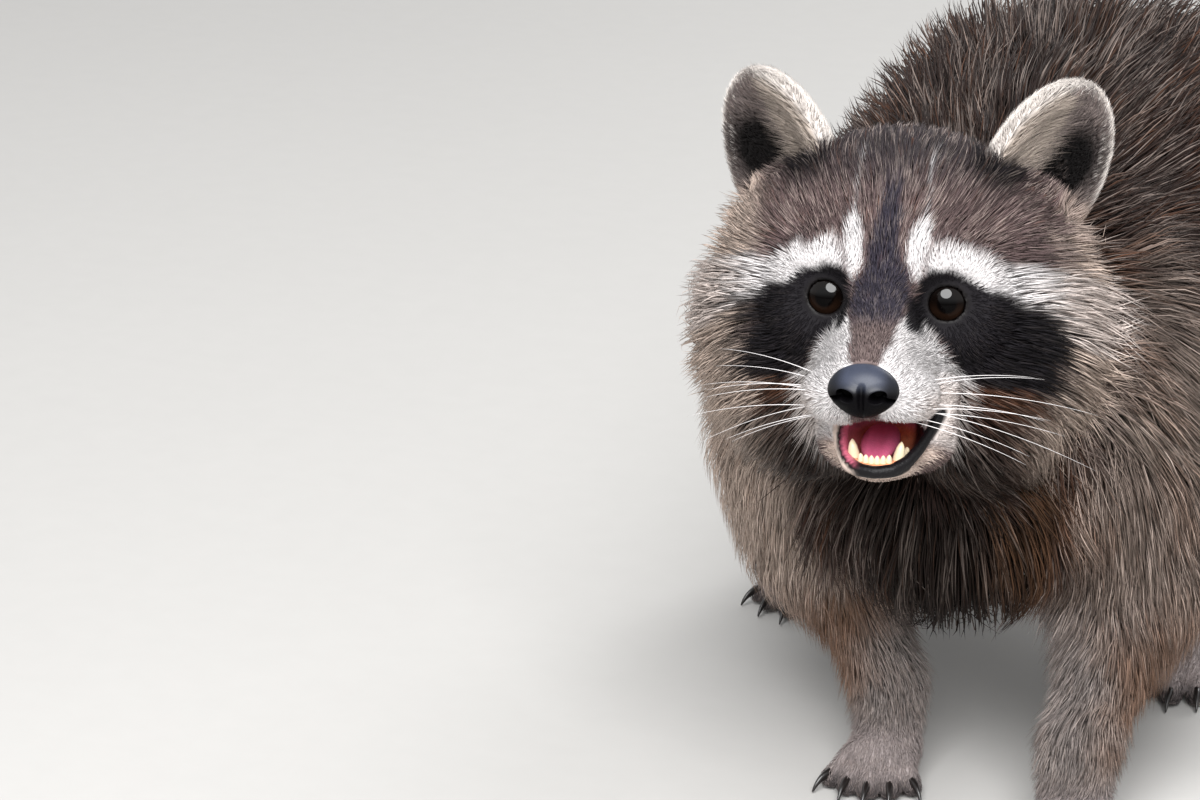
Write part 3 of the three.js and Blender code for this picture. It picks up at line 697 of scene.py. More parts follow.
def ear_marks(over, at):
    """Grey backs, the grey cup with its dark hollow and its pale fluff on the inner side, the pale rim, and
    the dark patch at each ear's inner foot."""
    e = to_ear(at.q)
    from_middle = np.sqrt((e[:, 0] / EAR["radii"][0]) ** 2 + (e[:, 2] / EAR["radii"][2]) ** 2)
    on_ear = edge(3.5 - mass_field(egg((0, 0, 0), EAR["radii"], 0, 0), e), 2.0) * edge(e[:, 2] + 3.0, 4.0)
    over(on_ear, "ear_back", 0.5)
    inside = on_ear * in_cup(e)
    over(inside, "ear_depth", 0.4)
    over(inside * ear_hollow(e), "ear_hollow", 0.0)
    over(inside * edge(-4.8 - e[:, 0] - 0.12 * (e[:, 2] - 10) + 1.5 * at.soft, 2.5), "ear_fluff", 0.15)
    over(on_ear * edge(from_middle - 0.90, 0.05), "ear_rim", 0.0)
    base = edge(disc(at.side - 31.0, at.q[:, 2] - 40.0, 8.0, 11.0) + 0.15 * at.soft, 0.35)
    over(base * edge(at.q[:, 1] - 20, 8) * at.head * (1.0 - on_ear), "mask", 0.3)


def bare_marks(over, at):
    """Dark lids and hair round the eyes, pale rim of the lower lip, the mouth's lining, black lips, the
    skin round the nose pad and the soles. Returns how bare each point is, 0 to 1."""
    q, head, side = at.q, at.head, at.side
    x, y, z = q.T
    from_eye = np.linalg.norm(fold(q) - EYE_AT, axis=1)
    round_eye = disc(side - EYE_AT[0], z, 12.0, np.where(z > 0, 9.4, 12.0))
    corner = disc(side - 12.6, z + 3.2, 3.8, 5.0)
    over(head * edge(np.maximum(round_eye, corner), 0.12) * edge(20 - y, 8), "mask", 0.0)
    lids = edge(9.7 - from_eye, 0.5)
    over(lids, "lid", 0.0)
    from_mouth, from_lip = mass_field(MOUTH, q), lip_field(q)
    over(head * edge(5.0 - from_lip, 1.0) * edge(-47.0 - z, 2.0), "cream", 0.1)
    within = edge(0.5 - from_mouth, 0.3) * head
    over(within, "palate", 0.0)
    over(within * edge(-44.0 - z, 2.0), "gum", 0.0)
    over(within * edge(x - 13.5, 1.2), "lip", 0.0)
    upper_lip = edge(0.7 - np.abs(from_mouth - 0.7), 0.4) * edge(-12 - y, 6)
    lip = np.maximum(edge(0.9 - from_lip, 0.4), upper_lip) * head
    over(lip, "lip", 0.0)
    right_lip = lip * edge(-4.0 - x, 2.0)
    over(right_lip * edge(1.7 - from_mouth, 0.5), "palate", 0.0)
    over(right_lip * edge(from_mouth - 3.4, 0.4), "cream", 0.0)
    nose = edge(1.06 - np.linalg.norm((q - NOSE_CENTRE) / NOSE_RADII, axis=1), 0.05)
    over(nose, "lip", 0.0)
    pads = edge(1.2 - at.p[:, 2], 0.5)
    over(pads, "lid", 0.0)
    return np.clip(lids + lip + within + nose + pads, 0.0, 1.0)


def markings(p, colours):
    """The coat's mean colour at points, how grizzled it is and how bare, laid on in layers: each layer
    moves the colour towards its own by a weight of 0 to 1, and the grizzle too where it gives one."""
    def over(weight, name, salt=None):
        """Lays one layer on: value + (the layer's value - value) x weight."""
        nonlocal shade, grizzle
        shade = shade + (np.asarray(colours[name]) - shade) * weight[:, None]
        if salt is not None:
            grizzle = grizzle + (salt - grizzle) * weight

    q = to_head(p)
    at = Place(p, q, np.abs(q[:, 0]), ripple(p, 9.0, 3), ripple(p, 23.0, 5), *part_weights(p), tail_run(p))
    shade = np.tile(colours["body"], (len(p), 1))
    grizzle = np.full(len(p), BODY_GRIZZLE)
    body_marks(over, at)
    face_marks(over, at)
    ear_marks(over, at)
    bare = bare_marks(over, at)
    return shade, np.clip(grizzle, 0.0, 1.0), bare


# ---------------------------------------------------------------- the coat
HEAD_LIES = [mass._replace(lie=head_lie(mass.lie)) for mass in HEAD + JAW]
# Rings of a tuft, as shares of its length.
SHORT_COAT = np.array((0.0, 0.42, 1.0))
LONG_COAT = np.array((0.0, 0.3, 0.66, 1.0))
ZONES = (
    ("ears", "fur_pale", SHORT_COAT),
    ("face_right", "fur_face", SHORT_COAT),
    ("face_left", "fur_face", SHORT_COAT),
    ("crown_right", "fur_grizzled", LONG_COAT),
    ("crown_left", "fur_grizzled", LONG_COAT),
    ("tail", "fur_ring", LONG_COAT),
    ("forelegs", "fur_pale", SHORT_COAT),
    ("hind_legs", "fur_pale", SHORT_COAT),
    ("fore_right", "fur_grizzled", LONG_COAT),
    ("fore_left", "fur_grizzled", LONG_COAT),
    ("middle_right", "fur_grizzled", LONG_COAT),
    ("middle_left", "fur_grizzled", LONG_COAT),
    ("rump_right", "fur_grizzled", LONG_COAT),
    ("rump_left", "fur_grizzled", LONG_COAT),
)
EAR_ZONE, TAIL_ZONE, FORELEG_ZONE, HIND_LEG_ZONE, FIRST_BODY_ZONE = 0, 5, 6, 7, 8
FACE_END, LEGS_PART, FORE_END, MIDDLE_END = 27.0, 140.0, 128.0, 215.0
# What the strands take from the coat's depth and from other distances, in millimetres: (distances), (values).
TABLES = {
    "number": ((0.0, 2.0, 4.0, 8.0, 14.0, 22.0, 28.0), (2.5, 2.5, 2.1, 1.25, 0.62, 0.38, 0.31)),
    "number along": ((150.0, 240.0), (1.0, 0.60)),
    "number above": ((60.0, 130.0), (0.6, 1.0)),
    "depth by mouth": ((0.0, 3.0, 9.0, 20.0), (0.5, 1.0, 3.5, 40.0)),
    "depth by eye": ((9.5, 14.0, 22.0, 31.0), (0.5, 0.8, 3.2, 40.0)),
    "parting by eye": ((13.0, 26.0), (1.0, 0.0)),
    "spread": ((1.0, 10.0, 26.0), (0.12, 0.12, 0.13)),
    "length": ((0.5, 3.0, 7.0, 14.0, 28.0), (3.0, 6.5, 12.0, 27.0, 54.0)),
    "broad": ((3.0, 9.0), (0.0, 0.26)),
    "width": ((0.5, 3.0, 8.0, 14.0, 28.0), (0.33, 0.35, 0.44, 0.60, 0.72)),
    "pull": ((2.0, 6.0, 16.0), (0.05, 0.3, 0.62)),
    "profile": ((0.0, 0.3, 0.42, 0.7, 1.0), (0.0, 0.95, 1.0, 0.72, 0.0)),
}
LEAST_DEPTH, EAR_DEPTH, DEEP_COAT = 0.3, 2.6, 8.0
SHORT_LOCKS, LONG_LOCKS = 9.0, 13.0
DARK_BELOW, PALE_BELOW, RUSTY_ABOVE = 0.45, 0.76, 0.93
ROOT_SUNK, DROOP, RISE, MOST_LIFT, GROUND_GAP = 0.5, 0.10, 1.7, 30.0, 0.8
BARE, ROOTS_ABOVE = 0.35, 1.6
PATCH = 0.003

Strands = collections.namedtuple("Strands", "root way normal length height width shade grizzle pick uv")


def read(table, distance):
    """A value from one of the tables, by straight lines between its entries."""
    return np.interp(distance, *TABLES[table])


def scatter(points, triangles, density, rng):
    """Seeded places on a surface: each triangle gets its area times the density, rounded by chance, at
    a + u (b - a) + v (c - a), with u and v folded back where they pass the far edge."""
    a, b, c = (points[triangles[:, k]] for k in range(3))
    area = np.linalg.norm(np.cross(b - a, c - a), axis=1) / 2.0
    count = np.floor(area * density + rng.random(len(area))).astype(int)
    which = np.repeat(np.arange(len(area)), count)
    u, v = rng.random((2, len(which)))
    folded = u + v > 1.0
    u, v = np.where(folded, 1.0 - u, u), np.where(folded, 1.0 - v, v)
    return a[which] + u[:, None] * (b - a)[which] + v[:, None] * (c - a)[which]


def flat_on(way, normal):
    """Directions with their part along the normal taken away."""
    return unit(way - (way * normal).sum(1, keepdims=True) * normal)


def lie_of_coat(p):
    """The way the coat lies: the masses' own directions, weighted by how near each mass is."""
    q = to_head(p)
    fields = [(mass_field(mass, q), mass.lie) for mass in HEAD_LIES]
    fields += [(mass_field(mass, p), mass.lie) for mass in BODY]
    nearest = np.min([d for d, _ in fields], 0)
    return unit(sum(np.exp((nearest - d) / 7.0)[:, None] * lie for d, lie in fields))


def zone_of(p):
    """Which coat piece each root belongs to: the first of these rules that it meets, or the last piece."""
    q = to_head(p)
    head, tail, lower, _ = part_weights(p)
    face = (head > 0.5) & (q[:, 1] < FACE_END)
    head_right, right = q[:, 0] <= 0, p[:, 0] < BODY_MIDDLE
    rules = [ear_field(q) < 1.5, face & head_right, face, (head > 0.5) & head_right, head > 0.5, tail > 0.5,
             (lower > 0.5) & (p[:, 1] < LEGS_PART), lower > 0.5]
    for end in (FORE_END, MIDDLE_END):
        rules += [(p[:, 1] < end) & right, p[:, 1] < end]
    rules.append(right)
    return np.select(rules, list(range(len(rules))), len(rules))


def share_of_turn(across, ahead):
    """An angle round a middle line, as a share of one turn, 0 to 1."""
    return np.arctan2(across, ahead) / (2.0 * math.pi) + 0.5


def unwrap(p, zone):
    """Places on an unwrap of the skin's own shape, 0 to 1 both ways: round and down the head's ball, round
    and along the trunk's, the legs' and the tail's middle lines, and flat on each side of each ear."""
    q = to_head(p)
    ball = unit(q - np.array((0.0, 12.0, -12.0)))
    u, v = share_of_turn(ball[:, 0], -ball[:, 1]), np.arccos(np.clip(ball[:, 2], -1, 1)) / math.pi
    e = to_ear(q)
    on_ear = np.clip(e[:, 0] / 48.0 + 0.5, 0, 1) * 0.24 + 0.25 * (e[:, 1] > 0) + 0.5 * (q[:, 0] > 0)
    joints = np.array([joint for joint, _, _ in TAIL], float)
    middle = np.stack([np.interp(p[:, 1], joints[:, 1], joints[:, k]) for k in (0, 2)], 1)
    maps = [(zone == EAR_ZONE, on_ear, np.clip(e[:, 2] / 64.0 + 0.5, 0, 1)),
            (zone == TAIL_ZONE, share_of_turn(p[:, 0] - middle[:, 0], p[:, 2] - middle[:, 1]), tail_run(p)),
            (zone >= FIRST_BODY_ZONE, share_of_turn(p[:, 0] - BODY_MIDDLE, p[:, 2] - 165.0),
             np.clip((p[:, 1] - 10.0) / 350.0, 0, 1))]
    for number, leg in enumerate(LEGS.values()):
        shin = leg["lower"][0]
        same_side = np.sign(p[:, 0] - 4) == np.sign(leg["toe"][0])
        on_leg = (zone == FORELEG_ZONE) | (zone == HIND_LEG_ZONE)
        t = np.clip((p[:, 2] - shin.b[2]) / (shin.a[2] - shin.b[2]), -1, 1)
        x, y = (shin.b[k] + (shin.a[k] - shin.b[k]) * t for k in (0, 1))
        maps.append((on_leg & same_side & ((p[:, 1] > LEGS_PART) == leg["hind"]),
                     0.5 * (number % 2) + 0.49 * share_of_turn(p[:, 0] - x, p[:, 1] - y),
                     np.clip(p[:, 2] / 110.0, 0, 1)))
    for mine, across, down in maps:
        u, v = np.where(mine, across, u), np.where(mine, down, v)
    return np.stack([u, v], 1)


def comb(strands, rings):
    """Points along each strand: it steps along its way over the skin, and at each ring is set to its own
    height above the skin, so that it hugs every curve. Returns rings x strands x 3, and the normals."""
    way, length = strands.way, strands.length
    line, normals = [strands.root - ROOT_SUNK * strands.normal], [strands.normal]
    here = strands.root.copy()
    for before, ring in zip(rings, rings[1:]):
        here = here + way * (length * (ring - before))[:, None]
        here[:, 2] -= length * (ring - before) * DROOP
        up, _ = gradient(skin_field, here, 1.2)
        lift = strands.height * (1.0 - (1.0 - ring) ** RISE)
        move = np.clip(lift - in_parts(skin_field, here), -MOST_LIFT, MOST_LIFT)
        here = here + up * move[:, None]
        here[:, 2] = np.maximum(here[:, 2], GROUND_GAP)
        way = flat_on(way, up)
        line.append(here)
        normals.append(up)
    return np.stack(line), np.stack(normals)


def blade_faces(rings):
    """Triangles of one closed three-sided blade: a point at its root, rings of three, and a point at its
    tip."""
    faces = []
    tip = 3 * (rings - 2) + 1
    for side in range(3):
        a, b = 1 + side, 1 + (side + 1) % 3
        faces.append((0, b, a))
        for k in range(0, 3 * (rings - 3), 3):
            faces += [(a + k, b + k, b + k + 3), (a + k, b + k + 3, a + k + 3)]
        k = 3 * (rings - 3)
        faces.append((a + k, b + k, tip))
    return np.array(faces)


def strand_mesh(line, normals, strands, level, colours):
    """Closed tapering blades along the points: each ring is a low triangle across the strand. Colours run
    from root to tip, and each strand is one small patch of the unwrap."""
    rings, n = line.shape[:2]
    run = unit(np.gradient(line, axis=0))
    across = unit(np.cross(run, normals))
    over = unit(np.cross(across, run))
    half = 0.5 * strands.width[None] * read("profile", level)[:, None]
    sides = [line + across * (aside * half)[..., None] + over * (up * half)[..., None]
             for aside, up in ((-1.0, -0.25), (1.0, -0.25), (0.0, 0.45))]
    waist = np.stack(sides, 2)[1:-1].transpose(1, 0, 2, 3).reshape(n, -1, 3)
    points = np.concatenate([line[0][:, None], waist, line[-1][:, None]], 1)
    faces = blade_faces(rings)
    every = (faces[None] + (np.arange(n) * points.shape[1])[:, None, None]).reshape(-1, 3)
    ring_of = np.concatenate([(0,), np.repeat(np.arange(1, rings - 1), 3), (rings - 1,)])
    aside_of = np.concatenate([(0.5,), np.tile((0.0, 1.0, 0.5), rings - 2), (0.5,)])
    patch = np.stack([aside_of, level[ring_of]], 1) * PATCH
    corner_uv = (strands.uv[:, None, None] + patch[faces][None]).reshape(-1, 2)
    colour = colours[ring_of].transpose(1, 0, 2).reshape(-1, 4)
    return points.reshape(-1, 3), every, corner_uv, colour


def strand_colours(strands, rings, rng, colours):
    """Banded hair: dark at the root, the marking's tone above, and tips that are pale, dark or rusty by
    chance where the coat is grizzled."""
    shade, pick = strands.shade, strands.pick[:, None]
    dark, pale, rust = (np.array(colours[name]) for name in ("dark", "pale", "rust"))
    aim = np.where(pick < DARK_BELOW, dark, np.where(pick < PALE_BELOW, pale, shade))
    aim = np.where(pick > RUSTY_ABOVE, rust, aim)
    much = strands.grizzle * rng.uniform(0.25, 0.85, len(shade))
    tip = shade + (aim - shade) * much[:, None]
    value = rng.uniform(0.82, 1.16, len(shade))[:, None]
    result = []
    for ring in rings:
        root_dark = 1.0 - (0.25 + 0.35 * np.minimum(strands.length / 30.0, 1.0)) * (1.0 - ring) ** 1.5
        colour = (shade + (tip - shade) * edge(ring - 0.45, 0.3)) * root_dark[:, None] * value
        result.append(np.concatenate([colour, np.full((len(shade), 1), ring)], 1))
    return np.stack(result)


def clump(root, way, length, spacing, pull, rng):
    """Strands lean together into locks: each turns its way towards the tip of the nearest lock's middle
    strand. One strand in `spacing` is such a middle."""
    count = max(8, int(len(root) * (1.0 / spacing)))
    heads = rng.choice(len(root), count, replace=False)
    tree = mathutils.kdtree.KDTree(count)
    for k, place in enumerate(root[heads]):
        tree.insert(place, k)
    tree.balance()
    nearest = heads[np.array([tree.find(place)[1] for place in root])]
    aim = root[nearest] + way[nearest] * length[nearest][:, None]
    return unit(way * (1.0 - pull)[:, None] + unit(aim - root) * pull[:, None]), nearest


def coat_depth(p):
    """How deep the coat is over points of the skin, in millimetres."""
    return np.maximum(-in_parts(coat_field, p), LEAST_DEPTH)


def sow(points, quads, share, colours, rng):
    """Roots on the skin: thicker where the coat is short, thinner behind and below, and none where it is
    bare or touches the ground."""
    triangles = split_quads(quads)
    middle = points[triangles].mean(1)
    density = read("number", coat_depth(middle)) * share * read("number along", middle[:, 1])
    root = scatter(points, triangles, density * read("number above", middle[:, 2]), rng)
    _, _, bare = in_batches(markings, root, colours)
    return root[(bare < BARE) & (root[:, 2] > ROOTS_ABOVE)]


def root_depth(root, ear):
    """The coat's depth at each root, which is even on the ears and short round the mouth and the eyes."""
    q = to_head(root)
    depth = np.where(ear, EAR_DEPTH, coat_depth(root))
    from_mouth = np.minimum(mass_field(MOUTH, q), lip_field(q))
    depth = np.minimum(depth, read("depth by mouth", from_mouth))
    return np.minimum(depth, read("depth by eye", np.linalg.norm(fold(q) - EYE_AT, axis=1)))


def strand_ways(root, normal, depth, ear, rng):
    """The way each strand sets out: with the lie of the coat, away from the eyes beside them, up the ears and
    across their cups, with a slow swirl and a little chance."""
    q = to_head(root)
    away = fold(q) - EYE_AT
    part = read("parting by eye", np.linalg.norm(away, axis=1))[:, None]
    away[:, 0] *= np.sign(q[:, 0])
    way = lie_of_coat(root) * (1.0 - part) + unit(away @ HEAD_TURN.T) * part * 1.4
    e = to_ear(q)
    cup = in_cup(e)
    across = 1.3 * edge(-4.0 - e[:, 0], 3.0) * cup * edge(30.0 - e[:, 2], 6.0)
    ear_way = unit(np.stack([e[:, 0] * 0.03 - 0.1 + across, -0.25 * cup, np.ones(len(e))], 1)) @ EAR_TURN.T
    ear_way[:, 0] *= np.sign(q[:, 0] - EAR["aside"])
    way = np.where(ear[:, None], ear_way @ HEAD_TURN.T, way)
    swirl = np.stack([ripple(root, 38.0, seed) for seed in (11, 12, 13)], 1)
    chance = rng.normal(size=root.shape) * read("spread", depth)[:, None]
    return flat_on(way + swirl * 0.16 + chance, normal)


def lean_in_locks(root, way, normal, length, depth, pull, pick, rng):
    """Short coat and long coat each fall into their own locks, and a lock's strands often share their tips'
    hue."""
    for long_coat, spacing in ((False, SHORT_LOCKS), (True, LONG_LOCKS)):
        mine = np.flatnonzero((depth > DEEP_COAT) == long_coat)
        leaned, nearest = clump(root[mine], way[mine], length[mine], spacing, pull[mine], rng)
        way[mine] = flat_on(leaned, normal[mine])
        shared = rng.random(len(mine)) < 0.55
        pick[mine] = np.where(shared, pick[mine[nearest]], pick[mine])
    return way, pick


def plan_strands(root, zone, sizes, colours, rng):
    """Every strand's way, length, height, width, colours and place on the unwrap, from the coat's depth and
    from chance. Some tufts of the deep coat are broad, low and darker: they close it underneath."""
    n = len(root)
    ear = zone == EAR_ZONE
    normal, _ = gradient(skin_field, root, 0.5)
    depth = root_depth(root, ear)
    way = strand_ways(root, normal, depth, ear, rng)
    length = read("length", depth) * rng.uniform(0.75, 1.12, n) * sizes.length
    e = to_ear(to_head(root))
    fluff = rng.uniform(5.0, 10.0, n) * np.where(e[:, 0] < -4.0, 1.7, 1.0) * (1.0 - 0.6 * ear_hollow(e))
    length = np.where(ear & (in_cup(e) > 0.5), fluff, np.where(ear, length * 1.3, length))
    height = depth * rng.uniform(0.6, 1.12, n)
    broad = rng.random(n) < read("broad", depth)
    width = read("width", depth) * rng.uniform(0.7, 1.2, n)
    width = np.where(broad, width * 2.0, width)
    height = np.where(broad, height * 0.72, height)
    pull = read("pull", depth) * rng.uniform(0.6, 1.2, n)
    pick = rng.random(n)
    way, pick = lean_in_locks(root, way, normal, length, depth, pull, pick, rng)
    seen = root + way * (0.45 * np.maximum(length - 7.0, 0.0))[:, None]
    shade, grizzle, _ = in_batches(markings, seen, colours)
    shade = np.where(broad[:, None], shade * 0.72, shade)
    uv = np.clip(unwrap(root, zone), 0.0, 1.0) * 0.994 + 0.001
    return Strands(root, way, normal, length, height, width, shade, grizzle, pick, uv)


def grow_coat(points, quads, sizes, colours, material):
    """All strands: sown on the skin, planned, combed over it, and made one piece for each zone."""
    rng = np.random.default_rng(sizes.seed)
    root = sow(points, quads, sizes.density, colours, rng)
    zone = zone_of(root)
    coat = plan_strands(root, zone, sizes, colours, rng)
    for number, (name, slot, rings) in enumerate(ZONES):
        mine = Strands(*(value[zone == number] for value in coat))
        line, normals = comb(mine, rings)
        tint = strand_colours(mine, rings, rng, colours)
        mesh, faces, uv, colour = strand_mesh(line, normals, mine, rings, tint)
        new_piece(f"coat_{name}", mesh, faces, material, slot, colours=colour, uv=uv)


# ---------------------------------------------------------------- eyes, nose, mouth, claws and whiskers
EYE_SHALLOW = 0.2
NOSTRIL_DEEP, WING_PROUD, GROOVE_DEEP = 4.2, 0.9, 1.3
TONGUE_RADII, TONGUE_AT = np.array((6.8, 16.0, 3.4)), np.array((JAW_ASIDE, -21.0, -47.0))
ARCH_AT, ARCH_WIDE, ARCH_LONG = np.array((JAW_ASIDE + 0.3, -26.5, -51.4)), 9.6, 13.2
# Lower teeth: (angle round the arch, height, thickness).
TEETH = ([(angle, 3.0, 1.35) for angle in (-0.52, -0.31, -0.10, 0.10, 0.31, 0.52)]
         + [(-0.95, 6.6, 2.3), (0.95, 6.6, 2.3)]
         + [(side * angle, 3.0, 1.6) for side in (-1, 1) for angle in (1.25, 1.45)])
CLAW_LONG, CLAW_THICK, CLAW_TIP, CLAW_TURN = 11.0, 1.45, 0.22, math.radians(34.0)
WHISKER_THICK, WHISKER_TIP = 0.125, 0.03


def tube(path, radii, around, flat=1.0, up=(0.0, 0.0, 1.0)):
    """A closed tapering tube: rings across the path's run, `flat` times as thick as wide, and a point at each
    end."""
    path = np.asarray(path, float)
    run = unit(np.gradient(path, axis=0))
    across = unit(np.cross(run, np.array(up)))
    over = np.cross(across, run)
    angle = (np.arange(around) * (2.0 * math.pi / around))[:, None]
    ring = np.cos(angle) * across[:, None] + flat * np.sin(angle) * over[:, None]
    points = (path[:, None] + np.asarray(radii)[:, None, None] * ring).reshape(-1, 3)
    first, last = len(points), len(points) + 1
    k = np.arange(around)
    following = (k + 1) % around
    base = (len(path) - 1) * around
    caps = [np.stack([following, k, np.full(around, first), np.full(around, first)], 1),
            np.stack([base + k, base + following, np.full(around, last), np.full(around, last)], 1)]
    faces = np.concatenate([grid_faces(len(path), around), *caps])
    return np.concatenate([points, path[:1], path[-1:]]), faces


def as_triangles(points, quads):
    """Quads as triangles, leaving out those that have no area."""
    triangles = split_quads(quads)
    real = (triangles != np.roll(triangles, 1, axis=1)).all(1)
    return points, triangles[real]


def closed_ball(rows, around):
    """Unit ball: points on rings from its front pole, on -y, to its back pole, and triangles."""
    down = np.linspace(0.0, math.pi, rows)[1:-1, None]
    angle = (np.arange(around) * (2.0 * math.pi / around))[None]
    ring = (np.sin(down) * np.cos(angle), -np.cos(down), np.sin(down) * np.sin(angle))
    points = np.stack(np.broadcast_arrays(*ring), -1).reshape(-1, 3)
    inner = rows - 2
    quads = grid_faces(inner, around)
    k = np.arange(around)
    following = (k + 1) % around
    base = (inner - 1) * around
    front, back = np.full(around, inner * around), np.full(around, inner * around + 1)
    return (np.concatenate([points, ((0.0, -1.0, 0.0), (0.0, 1.0, 0.0))]),
            np.concatenate([quads[:, (0, 2, 1)], quads[:, (0, 3, 2)], np.stack([k, following, front], 1),
                            np.stack([base + following, base + k, back], 1)]))


def eyeball(side):
    """A ball a fifth shallower than wide, its front where a round ball's would be. Returns its points and
    faces, how far each point takes the iris's brown, with painted light on the lower part of the ring, and
    how wet it is, 0 to 1."""
    way, faces = closed_ball(48, 64)
    mirror = np.array((side, 1.0, 1.0))
    look = EYE_LOOK * mirror
    spin = turn("z", math.degrees(math.atan2(look[0], -look[1])))
    toward = -way[:, 1]
    ball = EYE_RADIUS * (way * np.array((1.0, 1.0 - EYE_SHALLOW, 1.0)) - np.array((0.0, EYE_SHALLOW, 0.0)))
    # Painted light: the iris's brown is strong only on the ring's lower part, where light from above falls.
    lower_painted_light = 0.15 + 0.85 * edge(-0.15 - way[:, 2], 0.3)
    iris = edge(0.90 - toward, 0.03) * edge(toward - 0.66, 0.06) * lower_painted_light
    return from_head(ball @ spin.T + EYE_AT * mirror), faces, iris, edge(way[:, 2] - 0.12, 0.16)


def nose_pad():
    """An egg, flatter above, with comma nostrils, a groove below and between them, and a soft rounded rim.
    Returns its points and faces, and how far each point is open, dull and under the painted sheen of its
    upper side, 0 to 1."""
    way, faces = closed_ball(110, 150)
    x, z = way[:, 0], way[:, 2]
    front = np.clip(-way[:, 1], 0, 1)
    p = way * NOSE_RADII
    p[:, 0] *= 1.0 - 0.22 * np.clip(-z, 0, 1) ** 1.4
    p[:, 2] -= 1.2 * front * np.clip(z, 0, 1)
    a = np.abs(x)
    hole = edge(disc(a - 0.46, z + 0.10 - 0.25 * (a - 0.46), 0.20, 0.20), 0.36)
    slit = edge(disc(a - 0.70, z + 0.22 + 0.35 * (a - 0.7), 0.26, 0.085), 0.4)
    opening = np.maximum(hole, slit * 0.8) * edge(front - 0.12, 0.1)
    wing = edge(disc(a - 0.47, z + 0.1, 0.42, 0.44), 0.4)
    groove = edge(0.075 - a, 0.06) * edge(0.25 - z, 0.25) * edge(front - 0.2, 0.2)
    p[:, 1] += opening * NOSTRIL_DEEP - wing * WING_PROUD * (1.0 - opening) + groove * GROOVE_DEEP
    p[:, 2] += opening
    # Painted sheen: a bluish painted reflection of the light from above, on the pad's upper middle.
    above = edge(z - 0.25, 0.3) * (1.0 - 0.75 * edge(a - 0.62, 0.2))
    dull = np.maximum(opening, edge(0.02 - z, 0.16))
    return from_head(p + NOSE_CENTRE), faces, opening, dull, above


def tongue_body():
    """A flattened egg, hollowed along its middle and tilted up to its tip."""
    way, faces = closed_ball(40, 48)
    p = way * TONGUE_RADII
    p[:, 2] -= 1.4 * edge(2.2 - np.abs(p[:, 0]), 2.0) * np.clip(way[:, 2], 0, 1)
    p[:, 2] += 0.2 * p[:, 1]
    return from_head(p + TONGUE_AT), faces


def mouth_arch(angle):
    """Places on the lower jaw's tooth line: a half ellipse, angle 0 in front."""
    rise = 1.5 * (1 - np.cos(angle))
    return ARCH_AT + np.stack([ARCH_WIDE * np.sin(angle), -ARCH_LONG * np.cos(angle), rise], -1)


def teeth_and_gum():
    """Lower incisors, canines and cheek teeth as tapering pegs on an arch, and the gum as a tube under
    them."""
    pegs = []
    t = np.linspace(-0.35, 1.0, 9)
    for angle, height, thick in TEETH:
        foot = mouth_arch(np.array(angle)) + np.array((0, 0, 0.2))
        lean = np.array((0.16 * math.sin(angle), -0.22 * math.cos(angle), 1.0))
        hook = np.array((0, 0.5, 0)) * t[:, None] ** 2 * (height > 5)
        taper = np.sqrt(np.clip(1.0 - t ** 3, 0.02, 1)) * (1 - 0.35 * t.clip(0))
        pegs.append(tube(foot + lean * height * t[:, None] + hook, thick * taper, 12, up=(0.0, 1.0, 0.0)))
    angle = np.linspace(-1.6, 1.6, 60)
    thick = 2.3 * np.sqrt(np.clip(1 - (angle / 1.61) ** 8, 0.05, 1))
    return join(pegs), tube(mouth_arch(angle) - np.array((0, 0, 1.6)), thick, 14)


def claw(leg, digit):
    """A hooked horn: a tapering tube along an arc that droops ahead of the toe, deeper than wide."""
    paw = PAWS[leg["hind"]]
    matrix, origin = paw_place(leg)
    root, tip = digit_line(paw, digit)
    ahead = tip - root
    ahead[2] = 0.0
    ahead = unit(ahead)
    start = tip + ahead * (paw["tip_thick"] - 2.6)
    start[2] = tip[2] + 2.2
    t = np.linspace(0.0, 1.0, 16)
    angle = (CLAW_TURN * (t - 0.1))[:, None]
    arc = ahead * np.cos(angle) + np.array((0, 0, -1.0)) * np.sin(angle)
    path = start + arc * (CLAW_LONG * t)[:, None]
    path[:, 2] = np.maximum(path[:, 2], 0.9)
    return tube(path @ matrix.T + origin, CLAW_THICK * (1.0 - t) ** 0.75 + CLAW_TIP, 12, flat=1.25)


def whisker_starts(rng, length):
    """Where each whisker stands on its pad, its way and its length, and its side as a mirror: four rows of
    three holes, without three of them."""
    starts = []
    holes = [(r, c) for r in range(4) for c in range(3) if (r + c) % 4]
    for side in (-1.0, 1.0):
        for r, c in holes:
            x, y, z = 15.0 + 2.2 * c, -39.0 + 6.0 * c, -25.0 - 3.2 * r
            start = (x + rng.uniform(-1, 1), y + rng.uniform(-1.5, 1.5), z + rng.uniform(-0.8, 0.8))
            way = (1.0, 0.42 + 0.12 * c + rng.uniform(-0.12, 0.12), 0.16 - 0.16 * r + rng.uniform(-0.1, 0.1))
            reach = length * rng.uniform(0.62, 1.05) * (0.75 + 0.12 * c)
            starts.append((np.array(start), unit(np.array(way)), reach, np.array((side, 1.0, 1.0))))
    return starts


def whisker_paths(rng, length):
    """Long hairs from the whisker pads; each starts on the skin and droops a little towards its tip."""
    hairs = []
    t = np.linspace(0.0, 1.0, 12)
    for start, way, reach, mirror in whisker_starts(rng, length):
        at = from_head(start * mirror)
        for _ in range(3):
            up, _ = gradient(skin_field, at[None], 0.5)
            at = at - up[0] * skin_field(at[None])[0]
        path = at + head_lie(way * mirror) * (t * reach)[:, None]
        path[:, 2] -= reach * 0.16 * t ** 2
        path += head_lie((0.0, 0.10 * reach, 0.0)) * (t ** 2)[:, None]
        hairs.append(tube(path, WHISKER_THICK * (1.0 - t) ** 0.8 + WHISKER_TIP, 5))
    return join(hairs)


# ---------------------------------------------------------------- finishes
def add_node(tree, kind, **values):
    """A shader node with its properties and the defaults of its inputs set."""
    node = tree.nodes.new(kind)
    for name, value in values.items():
        if name in node.inputs:
            node.inputs[name].default_value = value
        else:
            setattr(node, name, value)
    return node


